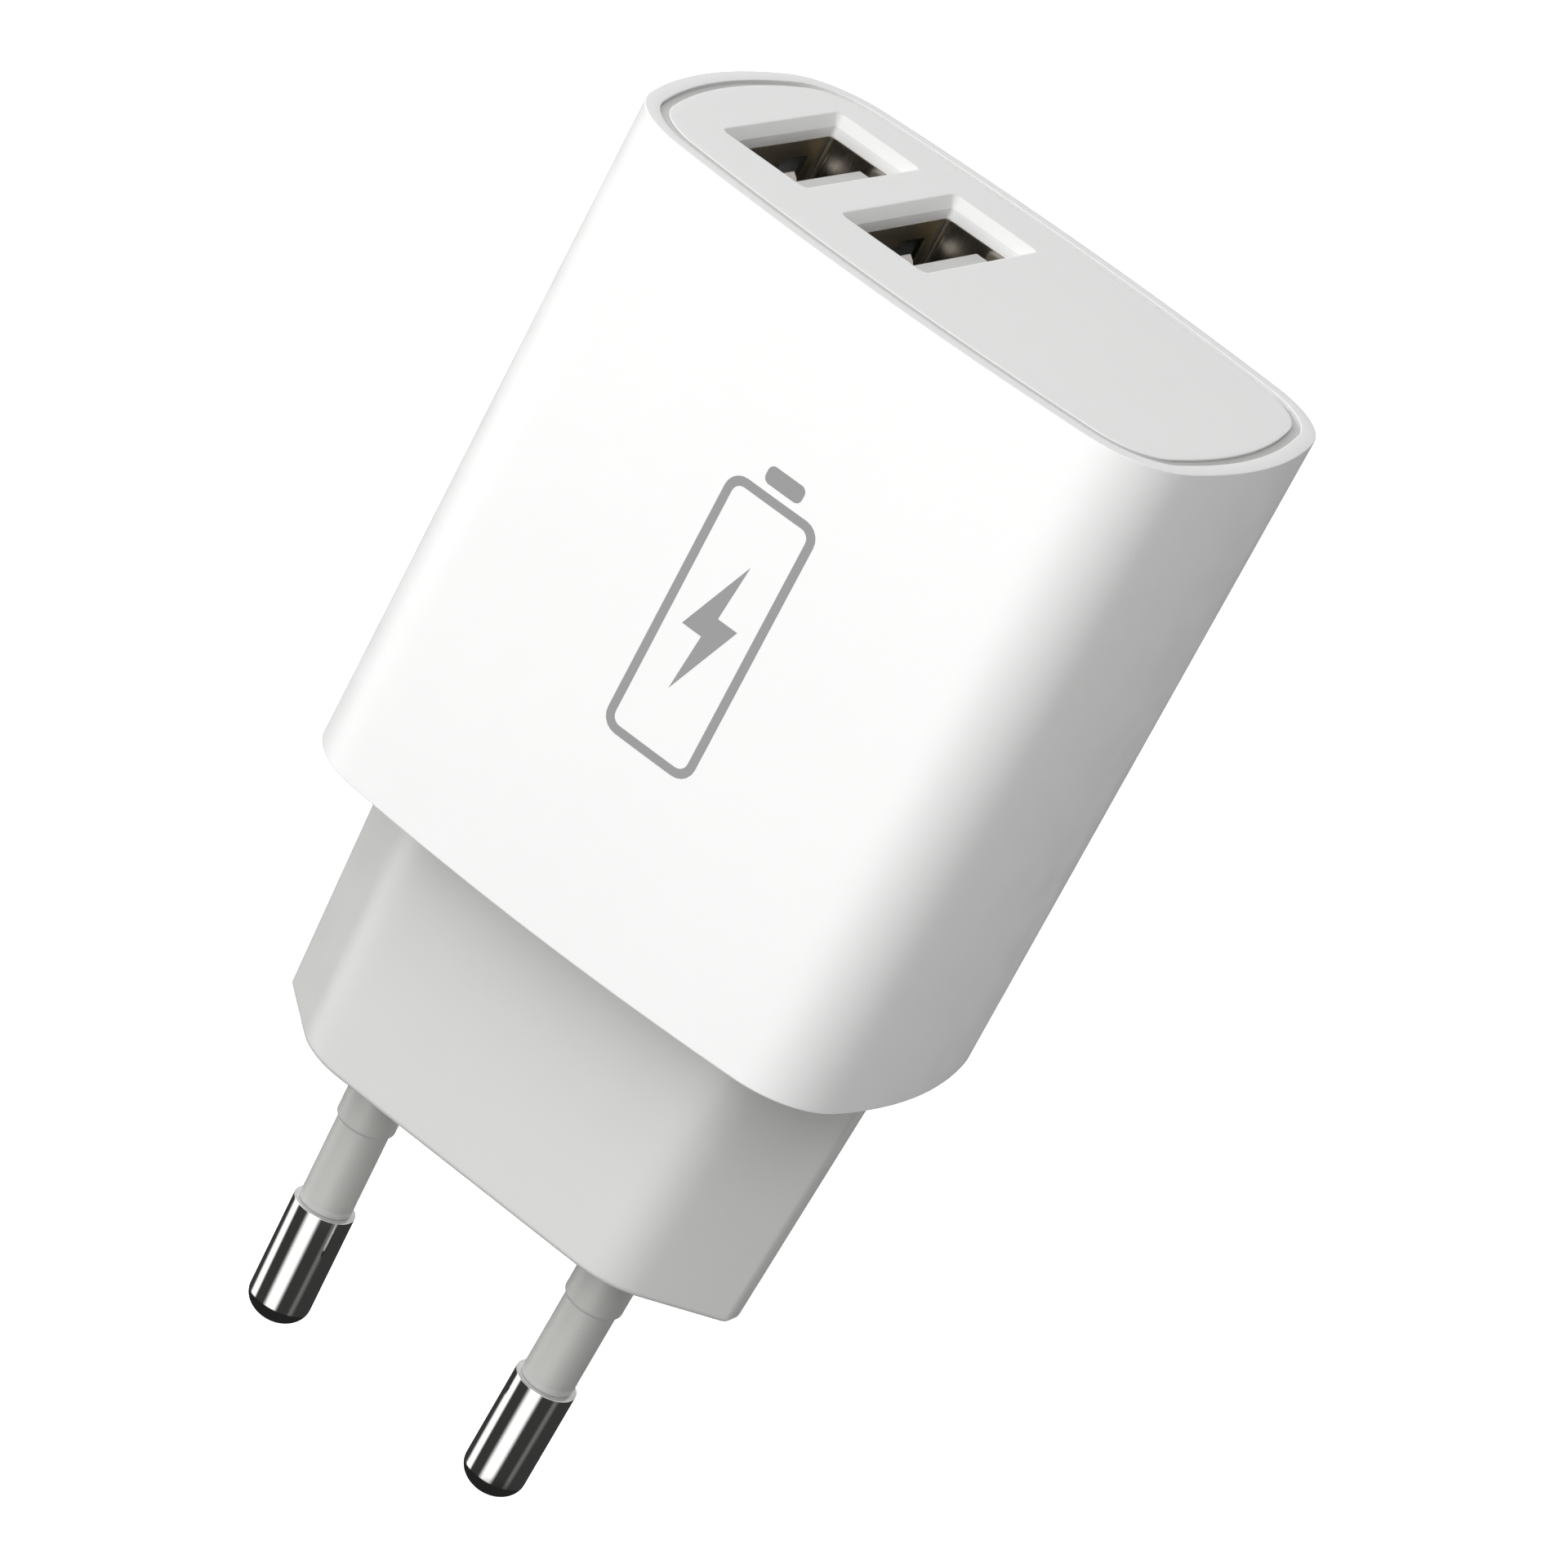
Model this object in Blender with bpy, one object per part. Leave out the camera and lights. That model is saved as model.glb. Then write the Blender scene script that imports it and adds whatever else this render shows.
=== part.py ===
"""A wall charger with two USB-A ports, built from its separate pieces.

Units are metres and +Z is up. The origin is the middle of the plug nose's end face. The pins
point down from it, the housing rises above it and the USB panel closes the top. The width runs
along X and the plain front face looks along -Y.
"""

import math

import bmesh
import bpy
from mathutils import Vector

# Clearances
GAP = 0.0003  # between neighbouring pieces
OVERLAP = 0.0004  # how far shapes that are joined into one piece run into each other
PAST = 0.002  # how far a cutter runs past the face that it cuts

# Housing: an oval tube with an end wall
HALF_WIDTH = 0.0204
HALF_DEPTH = 0.01305
FACE_BULGE = 0.0017
END_BULGE = 0.0028
CORNER_RADIUS = 0.0057
SHOULDER_Z = 0.0187
TOP_Z = 0.06225
WALL = 0.0018
END_WALL = 0.0018
EDGE_ROUNDING = 0.0002
RAIL_REACH = 0.0169  # half the clear width between the board rails
RAIL_THICKNESS = 0.0011

# End panel inside the rim
RIM = 0.00097
GROOVE_WIDTH = 0.00055
GROOVE_DEPTH = 0.00085
PANEL_SEAT_Z = 0.0594
PANEL_THICKNESS = 0.0020
SKIRT_BOTTOM_Z = 0.0567
SKIRT_WALL = 0.0010

# Hexagonal plug nose
NOSE_HALF_WIDTH = 0.01728
NOSE_HALF_FLAT = 0.01167
NOSE_HALF_DEPTH = 0.00644
NOSE_END_HALF = 0.0007
NOSE_FLAT_RADIUS = 0.0055
NOSE_END_RADIUS = 0.0008
NOSE_WIDENING_X = 0.05  # share of its width that the nose gains up to the shoulder
NOSE_WIDENING_Y = 0.03
NOSE_EDGE = 0.0005
NOSE_WALL = 0.0015
NOSE_FLOOR = 0.0026
FLANGE_HALF_WIDTH = 0.0165
FLANGE_HALF_DEPTH = 0.0098
FLANGE_RADIUS = 0.003
FLANGE_THICKNESS = 0.0016

# Pins, turned about their own axis
PIN_HALF_SPACING = 0.00921  # at the nose's end face
PIN_TIP_HALF_SPACING = 0.0087
PIN_LENGTH = 0.01905
PIN_RADIUS = 0.0020
PIN_BARE_LENGTH = 0.0084
PIN_CORE_RADIUS = 0.0010
PIN_COLLAR_RADIUS = 0.0017
PIN_INNER_LENGTH = 0.0065
SLEEVE_RADIUS = 0.00169
SLEEVE_COLLAR_RADIUS = 0.0019
SLEEVE_COLLAR_LENGTH = 0.0042
SLEEVE_COLLAR_SLOPE = 0.00045  # the height in which the collar narrows to the sleeve
SLEEVE_FOOT_RADIUS = 0.00198  # the sleeve flares out to the bare metal
SLEEVE_FOOT_RISE = 0.0005  # how high over the bare metal the flare begins
SLEEVE_SEAT_DEPTH = 0.0010  # how far a sleeve stands in the nose
PIN_TIP_ANGLES = (12, 35, 60, 90)  # degrees round the tip, from its middle outwards
PIN_TIP_FLATNESS = 0.745
ROUND_SIDES = 24

# Mains wires from the pins to the main board
WIRE_PADS_X = {-1: -0.0066, 1: 0.0098}
WIRE_PAD_RISE = 0.0012  # the pads' height over the board's lower edge
WIRE_RADIUS = 0.0006
WIRE_STEPS = 12

# USB-A ports
PORT_X = {"a": -0.0122, "b": -0.00348}
PORT_Y = 0.0007
MOUTH_HALF_X = 0.00256
MOUTH_HALF_Y = 0.00625
MOUTH_RADIUS = 0.0003
BEVEL_X = 0.0005
BEVEL_Y = 0.0006
BEVEL_DEPTH = 0.0006
BEVEL_RADIUS = 0.0006
POCKET_TOP_Z = 0.06098
SHELL_WALL = 0.0003
SHELL_BOTTOM_Z = 0.0475
SHELL_LEG_WIDTH = 0.0016
SHELL_LEG_INSET = 0.00004  # a leg is a little thinner than the wall that it grows from
WINDOW_OFFSET_Y = 0.00315
WINDOW_HALF_WIDTH = 0.00155
WINDOW_BOTTOM_Z = 0.0549
WINDOW_TOP_Z = 0.0598
TAB_HALF_WIDTH = 0.0008
TAB_THICKNESS = 0.00022
TAB_REACH = {-1: 0.00045, 1: 0.00010}  # how far a tab's crown stands inside each wide wall
TAB_CROWN_Z = 0.0579
TAB_END_Z = 0.0588
TONGUE_TOP_Z = 0.0605
TONGUE_OFFSET_X = 0.00123
TONGUE_HALF_THICKNESS = 0.00092
TONGUE_HALF_WIDTH = 0.00555
INSULATOR_TOP_Z = 0.0500

# Spring contacts on the tongue
CONTACT_OFFSETS_Y = (-0.0035, -0.0010, 0.0010, 0.0035)
CONTACT_HALF_WIDTH = 0.0005
CONTACT_THICKNESS = 0.0002
GROOVE_HALF_WIDTH = CONTACT_HALF_WIDTH + GAP
CONTACT_GROOVE_DEPTH = 0.00095
CONTACT_GROOVE_TOP_Z = 0.0597
CONTACT_ROOT_Z = 0.0508
CONTACT_CROWN_Z = 0.0580
CONTACT_TIP_Z = 0.0592
CONTACT_PROUD = 0.00035  # the crown's height over the tongue
CONTACT_TIP_INSET = 0.00020

# Circuit boards
BOARD_THICKNESS = 0.0016
MAIN_BOARD_Y = 0.0054  # component face
MAIN_BOARD_HALF_WIDTH = 0.0175
MAIN_BOARD_BOTTOM_Z = 0.0229
MAIN_BOARD_TOP_Z = 0.0449
PORT_BOARD_Z = 0.0456  # underside
PORT_BOARD_INSET = 0.0024
LEAD_RADIUS = 0.0003
LEAD_SIDES = 8
LEAD_STUB = 0.0010  # how far a lead shows on the solder side
SHEET = 0.0002  # the thickness of a chip's flat legs
CHIP_EDGE = 0.0003
CAN_CRIMP = 0.08  # share of a can's radius
CAN_WAIST = (0.10, 0.13, 0.16)  # shares of a can's length where its waist begins, is and ends
DISC_COAT = 0.0010  # how far a dipped disc stands over its board
DISC_SECTIONS = ((0.75, -0.5), (1.0, -0.28), (1.0, 0.28), (0.75, 0.5))  # shares of radius, thickness

# Pin header between the boards
HEADER_FIRST_X = 0.0105
HEADER_PITCH = 0.0016
HEADER_COUNT = 4
HEADER_BAR = 0.0027
HEADER_PIN_INSET = 0.0009


# ---------------------------------------------------------------- outlines


def arc(centre, radius, start, end, steps):
    """Points along an arc, without its last point."""
    angles = [start + (end - start) * i / steps for i in range(steps)]
    return [(centre[0] + radius * math.cos(a), centre[1] + radius * math.sin(a)) for a in angles]


def circle_crossing(centre_a, radius_a, centre_b, radius_b):
    """The crossing of two circles that lies furthest towards +X and +Y."""
    between = centre_b - centre_a
    distance = between.length
    along = (radius_a**2 - radius_b**2 + distance**2) / (2 * distance)
    aside = math.sqrt(radius_a**2 - along**2)
    middle = centre_a + between * along / distance
    step = Vector((between.y, -between.x)) * aside / distance
    return max(middle + step, middle - step, key=lambda p: p.x + p.y)


def mirrored_quarters(quarter, top):
    """A closed outline from its first quarter and the height where that quarter meets the Y axis."""
    back = quarter[:0:-1]
    outline = list(quarter)
    outline += [(0, top)] + [(-x, y) for x, y in back]
    outline += [(-x, -y) for x, y in quarter]
    outline += [(0, -top)] + [(x, -y) for x, y in back]
    return outline


def housing_outline(inset):
    """The housing's oval, moved inwards: two bulged faces and two bulged ends with round corners."""
    face_radius = (HALF_WIDTH**2 + FACE_BULGE**2) / (2 * FACE_BULGE)
    end_radius = (HALF_DEPTH**2 + END_BULGE**2) / (2 * END_BULGE)
    face_centre = Vector((0, HALF_DEPTH - face_radius))
    end_centre = Vector((HALF_WIDTH - end_radius, 0))
    corner = circle_crossing(
        face_centre, face_radius - CORNER_RADIUS, end_centre, end_radius - CORNER_RADIUS
    )
    to_end = corner - end_centre
    to_face = corner - face_centre
    end_angle = math.atan2(to_end.y, to_end.x)
    face_angle = math.atan2(to_face.y, to_face.x)
    quarter = arc(end_centre, end_radius - inset, 0, end_angle, 3)
    quarter += arc(corner, CORNER_RADIUS - inset, end_angle, face_angle, 5)
    quarter += arc(face_centre, face_radius - inset, face_angle, math.pi / 2, 4)
    return mirrored_quarters(quarter, HALF_DEPTH - inset)


def rounded_polygon(corners, radii, steps):
    """A convex outline, counter-clockwise, with each corner turned to its own radius."""
    outline = []
    for i, (corner, radius) in enumerate(zip(corners, radii)):
        here = Vector(corner)
        before = (Vector(corners[i - 1]) - here).normalized()
        after = (Vector(corners[(i + 1) % len(corners)]) - here).normalized()
        half_angle = before.angle(after) / 2
        centre = here + (before + after).normalized() * radius / math.sin(half_angle)
        run = radius / math.tan(half_angle)
        first = here + before * run - centre
        start = math.atan2(first.y, first.x)
        turn = math.pi - 2 * half_angle
        outline += arc(centre, radius, start, start + turn, steps)
        last = here + after * run
        outline.append((last.x, last.y))
    return outline


def rounded_rectangle(half_x, half_y, radius, steps=3):
    corners = [(half_x, -half_y), (half_x, half_y), (-half_x, half_y), (-half_x, -half_y)]
    return rounded_polygon(corners, [radius] * 4, steps)


def nose_outline(inset):
    """The nose's hexagon at its end face, moved inwards. Its chamfers stand at 45 degrees."""
    slant = math.tan(math.pi / 8)
    half_width = NOSE_HALF_WIDTH - inset
    half_flat = NOSE_HALF_FLAT - inset * slant
    half_depth = NOSE_HALF_DEPTH - inset
    end_half = NOSE_END_HALF - inset * slant
    corners = [
        (half_width, -end_half),
        (half_width, end_half),
        (half_flat, half_depth),
        (-half_flat, half_depth),
        (-half_width, end_half),
        (-half_width, -end_half),
        (-half_flat, -half_depth),
        (half_flat, -half_depth),
    ]
    end_radius = min(NOSE_END_RADIUS, end_half)
    flat_radius = NOSE_FLAT_RADIUS - inset
    radii = [end_radius] * 2 + [flat_radius] * 2 + [end_radius] * 2 + [flat_radius] * 2
    return rounded_polygon(corners, radii, 3)


def nose_ring(inset, z):
    """The nose's outline at a height, widened evenly on the way up to the shoulder."""
    share = z / SHOULDER_Z
    grow_x = 1 + NOSE_WIDENING_X * share
    grow_y = 1 + NOSE_WIDENING_Y * share
    return [(x * grow_x, y * grow_y, z) for x, y in nose_outline(inset)]


def level(outline, z):
    return [(x, y, z) for x, y in outline]


def circle(radius, z, sides, centre=(0, 0)):
    return level(arc(centre, radius, 0, 2 * math.pi, sides), z)


# ---------------------------------------------------------------- solids


def add_loft(bm, rings, closed=False):
    """A skin over rings of equal count, with end caps, or joined end to end when closed."""
    loops = [[bm.verts.new(point) for point in ring] for ring in rings]
    pairs = list(zip(loops, loops[1:]))
    if closed:
        pairs.append((loops[-1], loops[0]))
    else:
        bm.faces.new(loops[0])
        bm.faces.new(loops[-1])
    for lower, upper in pairs:
        for i in range(len(lower)):
            j = (i + 1) % len(lower)
            bm.faces.new((lower[i], lower[j], upper[j], upper[i]))


def add_box(bm, low, high):
    corners = [(low[0], low[1]), (high[0], low[1]), (high[0], high[1]), (low[0], high[1])]
    add_loft(bm, [level(corners, low[2]), level(corners, high[2])])


def add_soft_box(bm, low, high, chamfer):
    """A box whose edges are all cut back a little, as moulded parts have them."""
    half_x = (high[0] - low[0]) / 2
    half_y = (high[1] - low[1]) / 2
    middle_x = (high[0] + low[0]) / 2
    middle_y = (high[1] + low[1]) / 2

    def ring(inset, z):
        outline = rounded_rectangle(half_x - inset, half_y - inset, chamfer, 1)
        return [(x + middle_x, y + middle_y, z) for x, y in outline]

    rings = [
        ring(chamfer / 2, low[2]),
        ring(0, low[2] + chamfer / 2),
        ring(0, high[2] - chamfer / 2),
        ring(chamfer / 2, high[2]),
    ]
    add_loft(bm, rings)


def add_turned(bm, profile, sides=ROUND_SIDES, closed=False):
    """A solid turned about Z from (radius, height) pairs."""
    add_loft(bm, [circle(radius, z, sides) for radius, z in profile], closed)


def add_tube(bm, points, radius, sides=LEAD_SIDES):
    """A round wire along a path, with flat ends. Each ring turns no more than the path does."""
    path = [Vector(point) for point in points]
    across = (path[1] - path[0]).orthogonal()
    rings = []
    for i, point in enumerate(path):
        ahead = (path[min(i + 1, len(path) - 1)] - path[max(i - 1, 0)]).normalized()
        across = (across - ahead * across.dot(ahead)).normalized()
        other = ahead.cross(across)
        angles = [2 * math.pi * k / sides for k in range(sides)]
        rings.append(
            [point + across * radius * math.cos(a) + other * radius * math.sin(a) for a in angles]
        )
    add_loft(bm, rings)


def strip_outline(path, thickness):
    """The outline of a bent strip seen from its edge."""
    near = []
    far = []
    for i, point in enumerate(path):
        here = Vector(point)
        ahead = Vector(path[min(i + 1, len(path) - 1)]) - Vector(path[max(i - 1, 0)])
        across = Vector((-ahead.y, ahead.x)).normalized() * thickness / 2
        near.append(here + across)
        far.append(here - across)
    return near + far[::-1]


def add_strip(bm, path, thickness, low_y, high_y):
    """A bent metal strip: an (x, z) path given its thickness, then its width along Y."""
    outline = strip_outline(path, thickness)
    add_loft(bm, [[(p.x, y, p.y) for p in outline] for y in (low_y, high_y)])


def new_bmesh(*parts):
    """A mesh made by calling each part's function on it in turn."""
    bm = bmesh.new()
    for add, *settings in parts:
        add(bm, *settings)
    return bm


# ---------------------------------------------------------------- objects


def make_material(name, colour, roughness, metallic=0.0):
    material = bpy.data.materials.new(name)
    material.use_nodes = True
    shader = material.node_tree.nodes["Principled BSDF"]
    shader.inputs["Base Color"].default_value = (*colour, 1)
    shader.inputs["Roughness"].default_value = roughness
    shader.inputs["Metallic"].default_value = metallic
    return material


def make_object(name, bm, material=None, location=(0, 0, 0), rotation=(0, 0, 0)):
    bmesh.ops.recalc_face_normals(bm, faces=bm.faces)
    mesh = bpy.data.meshes.new(name)
    bm.to_mesh(mesh)
    bm.free()
    mesh.shade_smooth()
    mesh.set_sharp_from_angle(angle=math.radians(30))
    if material:
        mesh.materials.append(material)
    obj = bpy.data.objects.new(name, mesh)
    obj.location = location
    obj.rotation_euler = rotation
    bpy.context.scene.collection.objects.link(obj)
    return obj


def apply_tool(target, operation, bm, location=None, rotation=None):
    """Cuts a hidden tool shape from the target, or joins it on. It sits on the target unless placed."""
    name = f"{target.name}_{operation.lower()}_{len(target.modifiers)}"
    tool = make_object(
        name,
        bm,
        location=target.location if location is None else location,
        rotation=target.rotation_euler if rotation is None else rotation,
    )
    tool.hide_render = True
    tool.display_type = "WIRE"
    modifier = target.modifiers.new(name, "BOOLEAN")
    modifier.operation = operation
    modifier.solver = "EXACT"
    modifier.object = tool


def cut(target, bm, **placing):
    apply_tool(target, "DIFFERENCE", bm, **placing)


def join(target, bm, **placing):
    apply_tool(target, "UNION", bm, **placing)


def clear_scene():
    for obj in list(bpy.data.objects):
        bpy.data.objects.remove(obj, do_unlink=True)


# ---------------------------------------------------------------- casing


def make_housing(material):
    bm = new_bmesh(
        (
            add_loft,
            [
                level(housing_outline(EDGE_ROUNDING), SHOULDER_Z),
                level(housing_outline(0), SHOULDER_Z + EDGE_ROUNDING),
                level(housing_outline(0), TOP_Z - EDGE_ROUNDING),
                level(housing_outline(EDGE_ROUNDING), TOP_Z),
            ],
        )
    )
    housing = make_object("housing", bm, material)
    inside = [
        level(housing_outline(WALL), SHOULDER_Z + END_WALL),
        level(housing_outline(WALL), PANEL_SEAT_Z),
        level(housing_outline(RIM), PANEL_SEAT_Z),
        level(housing_outline(RIM), TOP_Z + PAST),
    ]
    cut(housing, new_bmesh((add_loft, inside)))
    window = [
        nose_ring(-GAP, SHOULDER_Z - PAST),
        nose_ring(-GAP, SHOULDER_Z + END_WALL + PAST),
    ]
    cut(housing, new_bmesh((add_loft, window)))
    rails = bmesh.new()
    board_back = MAIN_BOARD_Y + BOARD_THICKNESS
    rail_bottom = MAIN_BOARD_BOTTOM_Z + 2 * GAP
    rail_top = PORT_BOARD_Z - GAP
    for side in (-1, 1):
        for y in (MAIN_BOARD_Y - GAP - RAIL_THICKNESS, board_back + GAP):
            ends = sorted((side * RAIL_REACH, side * (HALF_WIDTH - WALL / 2 - FACE_BULGE / 2)))
            add_box(rails, (ends[0], y, rail_bottom), (ends[1], y + RAIL_THICKNESS, rail_top))
    join(housing, rails)


def make_port_panel(material):
    seat = PANEL_SEAT_Z + GAP
    step = TOP_Z - GROOVE_DEPTH
    skirt = WALL + GAP
    bm = new_bmesh(
        (
            add_loft,
            [
                level(housing_outline(skirt), SKIRT_BOTTOM_Z),
                level(housing_outline(skirt), seat),
                level(housing_outline(RIM + GAP), seat),
                level(housing_outline(RIM + GAP), step),
                level(housing_outline(RIM + GROOVE_WIDTH), step),
                level(housing_outline(RIM + GROOVE_WIDTH), TOP_Z - EDGE_ROUNDING),
                level(housing_outline(RIM + GROOVE_WIDTH + EDGE_ROUNDING), TOP_Z),
            ],
        )
    )
    panel = make_object("port_panel", bm, material)
    hollow = [
        level(housing_outline(skirt + SKIRT_WALL), SKIRT_BOTTOM_Z - PAST),
        level(housing_outline(skirt + SKIRT_WALL), TOP_Z - PANEL_THICKNESS),
    ]
    cut(panel, new_bmesh((add_loft, hollow)))
    for x in PORT_X.values():
        mouth = [
            level(rounded_rectangle(MOUTH_HALF_X, MOUTH_HALF_Y, MOUTH_RADIUS), POCKET_TOP_Z - PAST),
            level(rounded_rectangle(MOUTH_HALF_X, MOUTH_HALF_Y, MOUTH_RADIUS), TOP_Z - BEVEL_DEPTH),
        ]
        for k in (1, 2):
            bevel = rounded_rectangle(
                MOUTH_HALF_X + k * BEVEL_X, MOUTH_HALF_Y + k * BEVEL_Y, k * BEVEL_RADIUS
            )
            mouth.append(level(bevel, TOP_Z - BEVEL_DEPTH + k * BEVEL_DEPTH))
        cut(panel, new_bmesh((add_loft, mouth)), location=(x, PORT_Y, 0))
        pocket_x = MOUTH_HALF_X + SHELL_WALL + GAP
        pocket_y = MOUTH_HALF_Y + SHELL_WALL + GAP
        low = (-pocket_x, -pocket_y, SKIRT_BOTTOM_Z - PAST)
        high = (pocket_x, pocket_y, POCKET_TOP_Z)
        cut(panel, new_bmesh((add_box, low, high)), location=(x, PORT_Y, 0))


def pin_tilt():
    return math.atan2(PIN_HALF_SPACING - PIN_TIP_HALF_SPACING, PIN_LENGTH)


def pin_placing(side):
    """Where a pin's own frame sits: on the nose's end face, its axis leaning out upwards."""
    return {
        "location": (side * PIN_HALF_SPACING, 0, 0),
        "rotation": (0, side * pin_tilt(), 0),
    }


def make_plug_base(material):
    flange_z = SHOULDER_Z + END_WALL + GAP
    top_z = flange_z + FLANGE_THICKNESS
    half_round = NOSE_EDGE * (1 - math.sin(math.pi / 4))
    bm = new_bmesh(
        (
            add_loft,
            [
                nose_ring(NOSE_EDGE, 0),
                nose_ring(half_round, half_round),
                nose_ring(0, NOSE_EDGE),
                nose_ring(0, top_z - OVERLAP),
            ],
        )
    )
    base = make_object("plug_base", bm, material)
    flange = rounded_rectangle(FLANGE_HALF_WIDTH, FLANGE_HALF_DEPTH, FLANGE_RADIUS)
    join(base, new_bmesh((add_loft, [level(flange, flange_z), level(flange, top_z)])))
    hollow = [nose_ring(NOSE_WALL, NOSE_FLOOR), nose_ring(NOSE_WALL, top_z + PAST)]
    cut(base, new_bmesh((add_loft, hollow)))
    seat_radius = SLEEVE_COLLAR_RADIUS + GAP
    seat_top = SLEEVE_SEAT_DEPTH + GAP
    hole = [
        (seat_radius, -PAST),
        (seat_radius, seat_top),
        (PIN_CORE_RADIUS + GAP, seat_top),
        (PIN_CORE_RADIUS + GAP, NOSE_FLOOR + PAST),
    ]
    for side in (-1, 1):
        cut(base, new_bmesh((add_turned, hole)), **pin_placing(side))


# ---------------------------------------------------------------- pins and mains wires


def make_pins(metal, plastic, wire_material):
    shoulder = PIN_BARE_LENGTH - PIN_LENGTH
    collar = NOSE_FLOOR + GAP
    pin_profile = []
    for angle in map(math.radians, PIN_TIP_ANGLES):
        rise = PIN_RADIUS * (1 - math.cos(angle)) * PIN_TIP_FLATNESS
        pin_profile.append((PIN_RADIUS * math.sin(angle), rise - PIN_LENGTH))
    pin_profile += [
        (PIN_RADIUS, shoulder - EDGE_ROUNDING),
        (PIN_RADIUS - EDGE_ROUNDING, shoulder),
        (PIN_CORE_RADIUS, shoulder),
        (PIN_CORE_RADIUS, collar),
        (PIN_COLLAR_RADIUS, collar),
        (PIN_COLLAR_RADIUS, collar + PIN_CORE_RADIUS),
        (PIN_CORE_RADIUS, collar + PIN_CORE_RADIUS),
        (PIN_CORE_RADIUS, PIN_INNER_LENGTH),
    ]
    bore = PIN_CORE_RADIUS + GAP
    sleeve_profile = [
        (bore, shoulder + GAP),
        (SLEEVE_FOOT_RADIUS, shoulder + GAP),
        (SLEEVE_RADIUS, shoulder + SLEEVE_FOOT_RISE),
        (SLEEVE_RADIUS, -SLEEVE_COLLAR_LENGTH - SLEEVE_COLLAR_SLOPE),
        (SLEEVE_COLLAR_RADIUS, -SLEEVE_COLLAR_LENGTH),
        (SLEEVE_COLLAR_RADIUS, SLEEVE_SEAT_DEPTH),
        (bore, SLEEVE_SEAT_DEPTH),
    ]
    for side, word in ((-1, "left"), (1, "right")):
        placing = pin_placing(side)
        make_object(f"pin_{word}", new_bmesh((add_turned, pin_profile)), metal, **placing)
        sleeve = new_bmesh((add_turned, sleeve_profile, ROUND_SIDES, True))
        make_object(f"pin_sleeve_{word}", sleeve, plastic, **placing)
        make_mains_wire(f"mains_wire_{word}", side, WIRE_PADS_X[side], wire_material)


def make_mains_wire(name, side, pad_x, material):
    """From the pin's inner end, up through the nose, to a pad low on the main board."""
    start_x = side * (PIN_HALF_SPACING + math.tan(pin_tilt()) * PIN_INNER_LENGTH)
    start_z = PIN_INNER_LENGTH + GAP
    pad_z = MAIN_BOARD_BOTTOM_Z + WIRE_PAD_RISE
    pad_y = MAIN_BOARD_Y - GAP
    route = []
    for i in range(WIRE_STEPS + 1):
        share = i / WIRE_STEPS
        ease = share * share * (3 - 2 * share)
        z = start_z + (pad_z - start_z) * math.sin(share * math.pi / 2)
        route.append((start_x + (pad_x - start_x) * ease, pad_y * ease**2, z))
    bm = new_bmesh((add_tube, route, WIRE_RADIUS))
    make_object(name, bm, material)


# ---------------------------------------------------------------- USB ports


def make_usb_port(letter, metal, plastic, contact_metal, port_holes):
    x = PORT_X[letter]
    make_usb_shell(letter, x, metal, port_holes)
    make_usb_insulator(letter, x, plastic)
    for number, offset in enumerate(CONTACT_OFFSETS_Y, 1):
        make_contact(f"{letter}{number}", x, offset, contact_metal, port_holes)


def make_usb_shell(letter, x, metal, port_holes):
    """A folded rectangular tube with two legs, four windows and a bent spring tab in each window."""
    top = POCKET_TOP_Z - GAP
    outer_x = MOUTH_HALF_X + SHELL_WALL
    outer_y = MOUTH_HALF_Y + SHELL_WALL
    outside = rounded_rectangle(outer_x, outer_y, MOUTH_RADIUS + SHELL_WALL)
    inside = rounded_rectangle(MOUTH_HALF_X, MOUTH_HALF_Y, MOUTH_RADIUS)
    walls = [
        level(outside, SHELL_BOTTOM_Z),
        level(outside, top),
        level(inside, top),
        level(inside, SHELL_BOTTOM_Z),
    ]
    place = (x, PORT_Y, 0)
    shell = make_object(
        f"usb_shell_{letter}", new_bmesh((add_loft, walls, True)), metal, location=place
    )
    windows = bmesh.new()
    for y in (-WINDOW_OFFSET_Y, WINDOW_OFFSET_Y):
        low = (-outer_x - PAST, y - WINDOW_HALF_WIDTH, WINDOW_BOTTOM_Z)
        high = (outer_x + PAST, y + WINDOW_HALF_WIDTH, WINDOW_TOP_Z)
        add_box(windows, low, high)
    cut(shell, windows)
    joined = bmesh.new()
    wall_middle = MOUTH_HALF_X + SHELL_WALL / 2
    for side in (-1, 1):
        path = [
            (side * wall_middle, WINDOW_BOTTOM_Z - OVERLAP),
            (side * wall_middle, WINDOW_BOTTOM_Z + OVERLAP),
            (side * (MOUTH_HALF_X - TAB_REACH[side] + TAB_THICKNESS / 2), TAB_CROWN_Z),
            (side * wall_middle, TAB_END_Z),
        ]
        for y in (-WINDOW_OFFSET_Y, WINDOW_OFFSET_Y):
            add_strip(joined, path, TAB_THICKNESS, y - TAB_HALF_WIDTH, y + TAB_HALF_WIDTH)
    leg_end = PORT_BOARD_Z - LEAD_STUB
    for side in (-1, 1):
        inner_end = side * (MOUTH_HALF_Y + SHELL_LEG_INSET)
        outer_end = side * (outer_y - SHELL_LEG_INSET)
        ends = sorted((inner_end, outer_end))
        low = (-SHELL_LEG_WIDTH / 2, ends[0], leg_end)
        high = (SHELL_LEG_WIDTH / 2, ends[1], SHELL_BOTTOM_Z + OVERLAP)
        add_box(joined, low, high)
        port_holes.append(
            (
                (x - SHELL_LEG_WIDTH / 2 - GAP, PORT_Y + ends[0] - GAP),
                (x + SHELL_LEG_WIDTH / 2 + GAP, PORT_Y + ends[1] + GAP),
            )
        )
    join(shell, joined)


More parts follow.
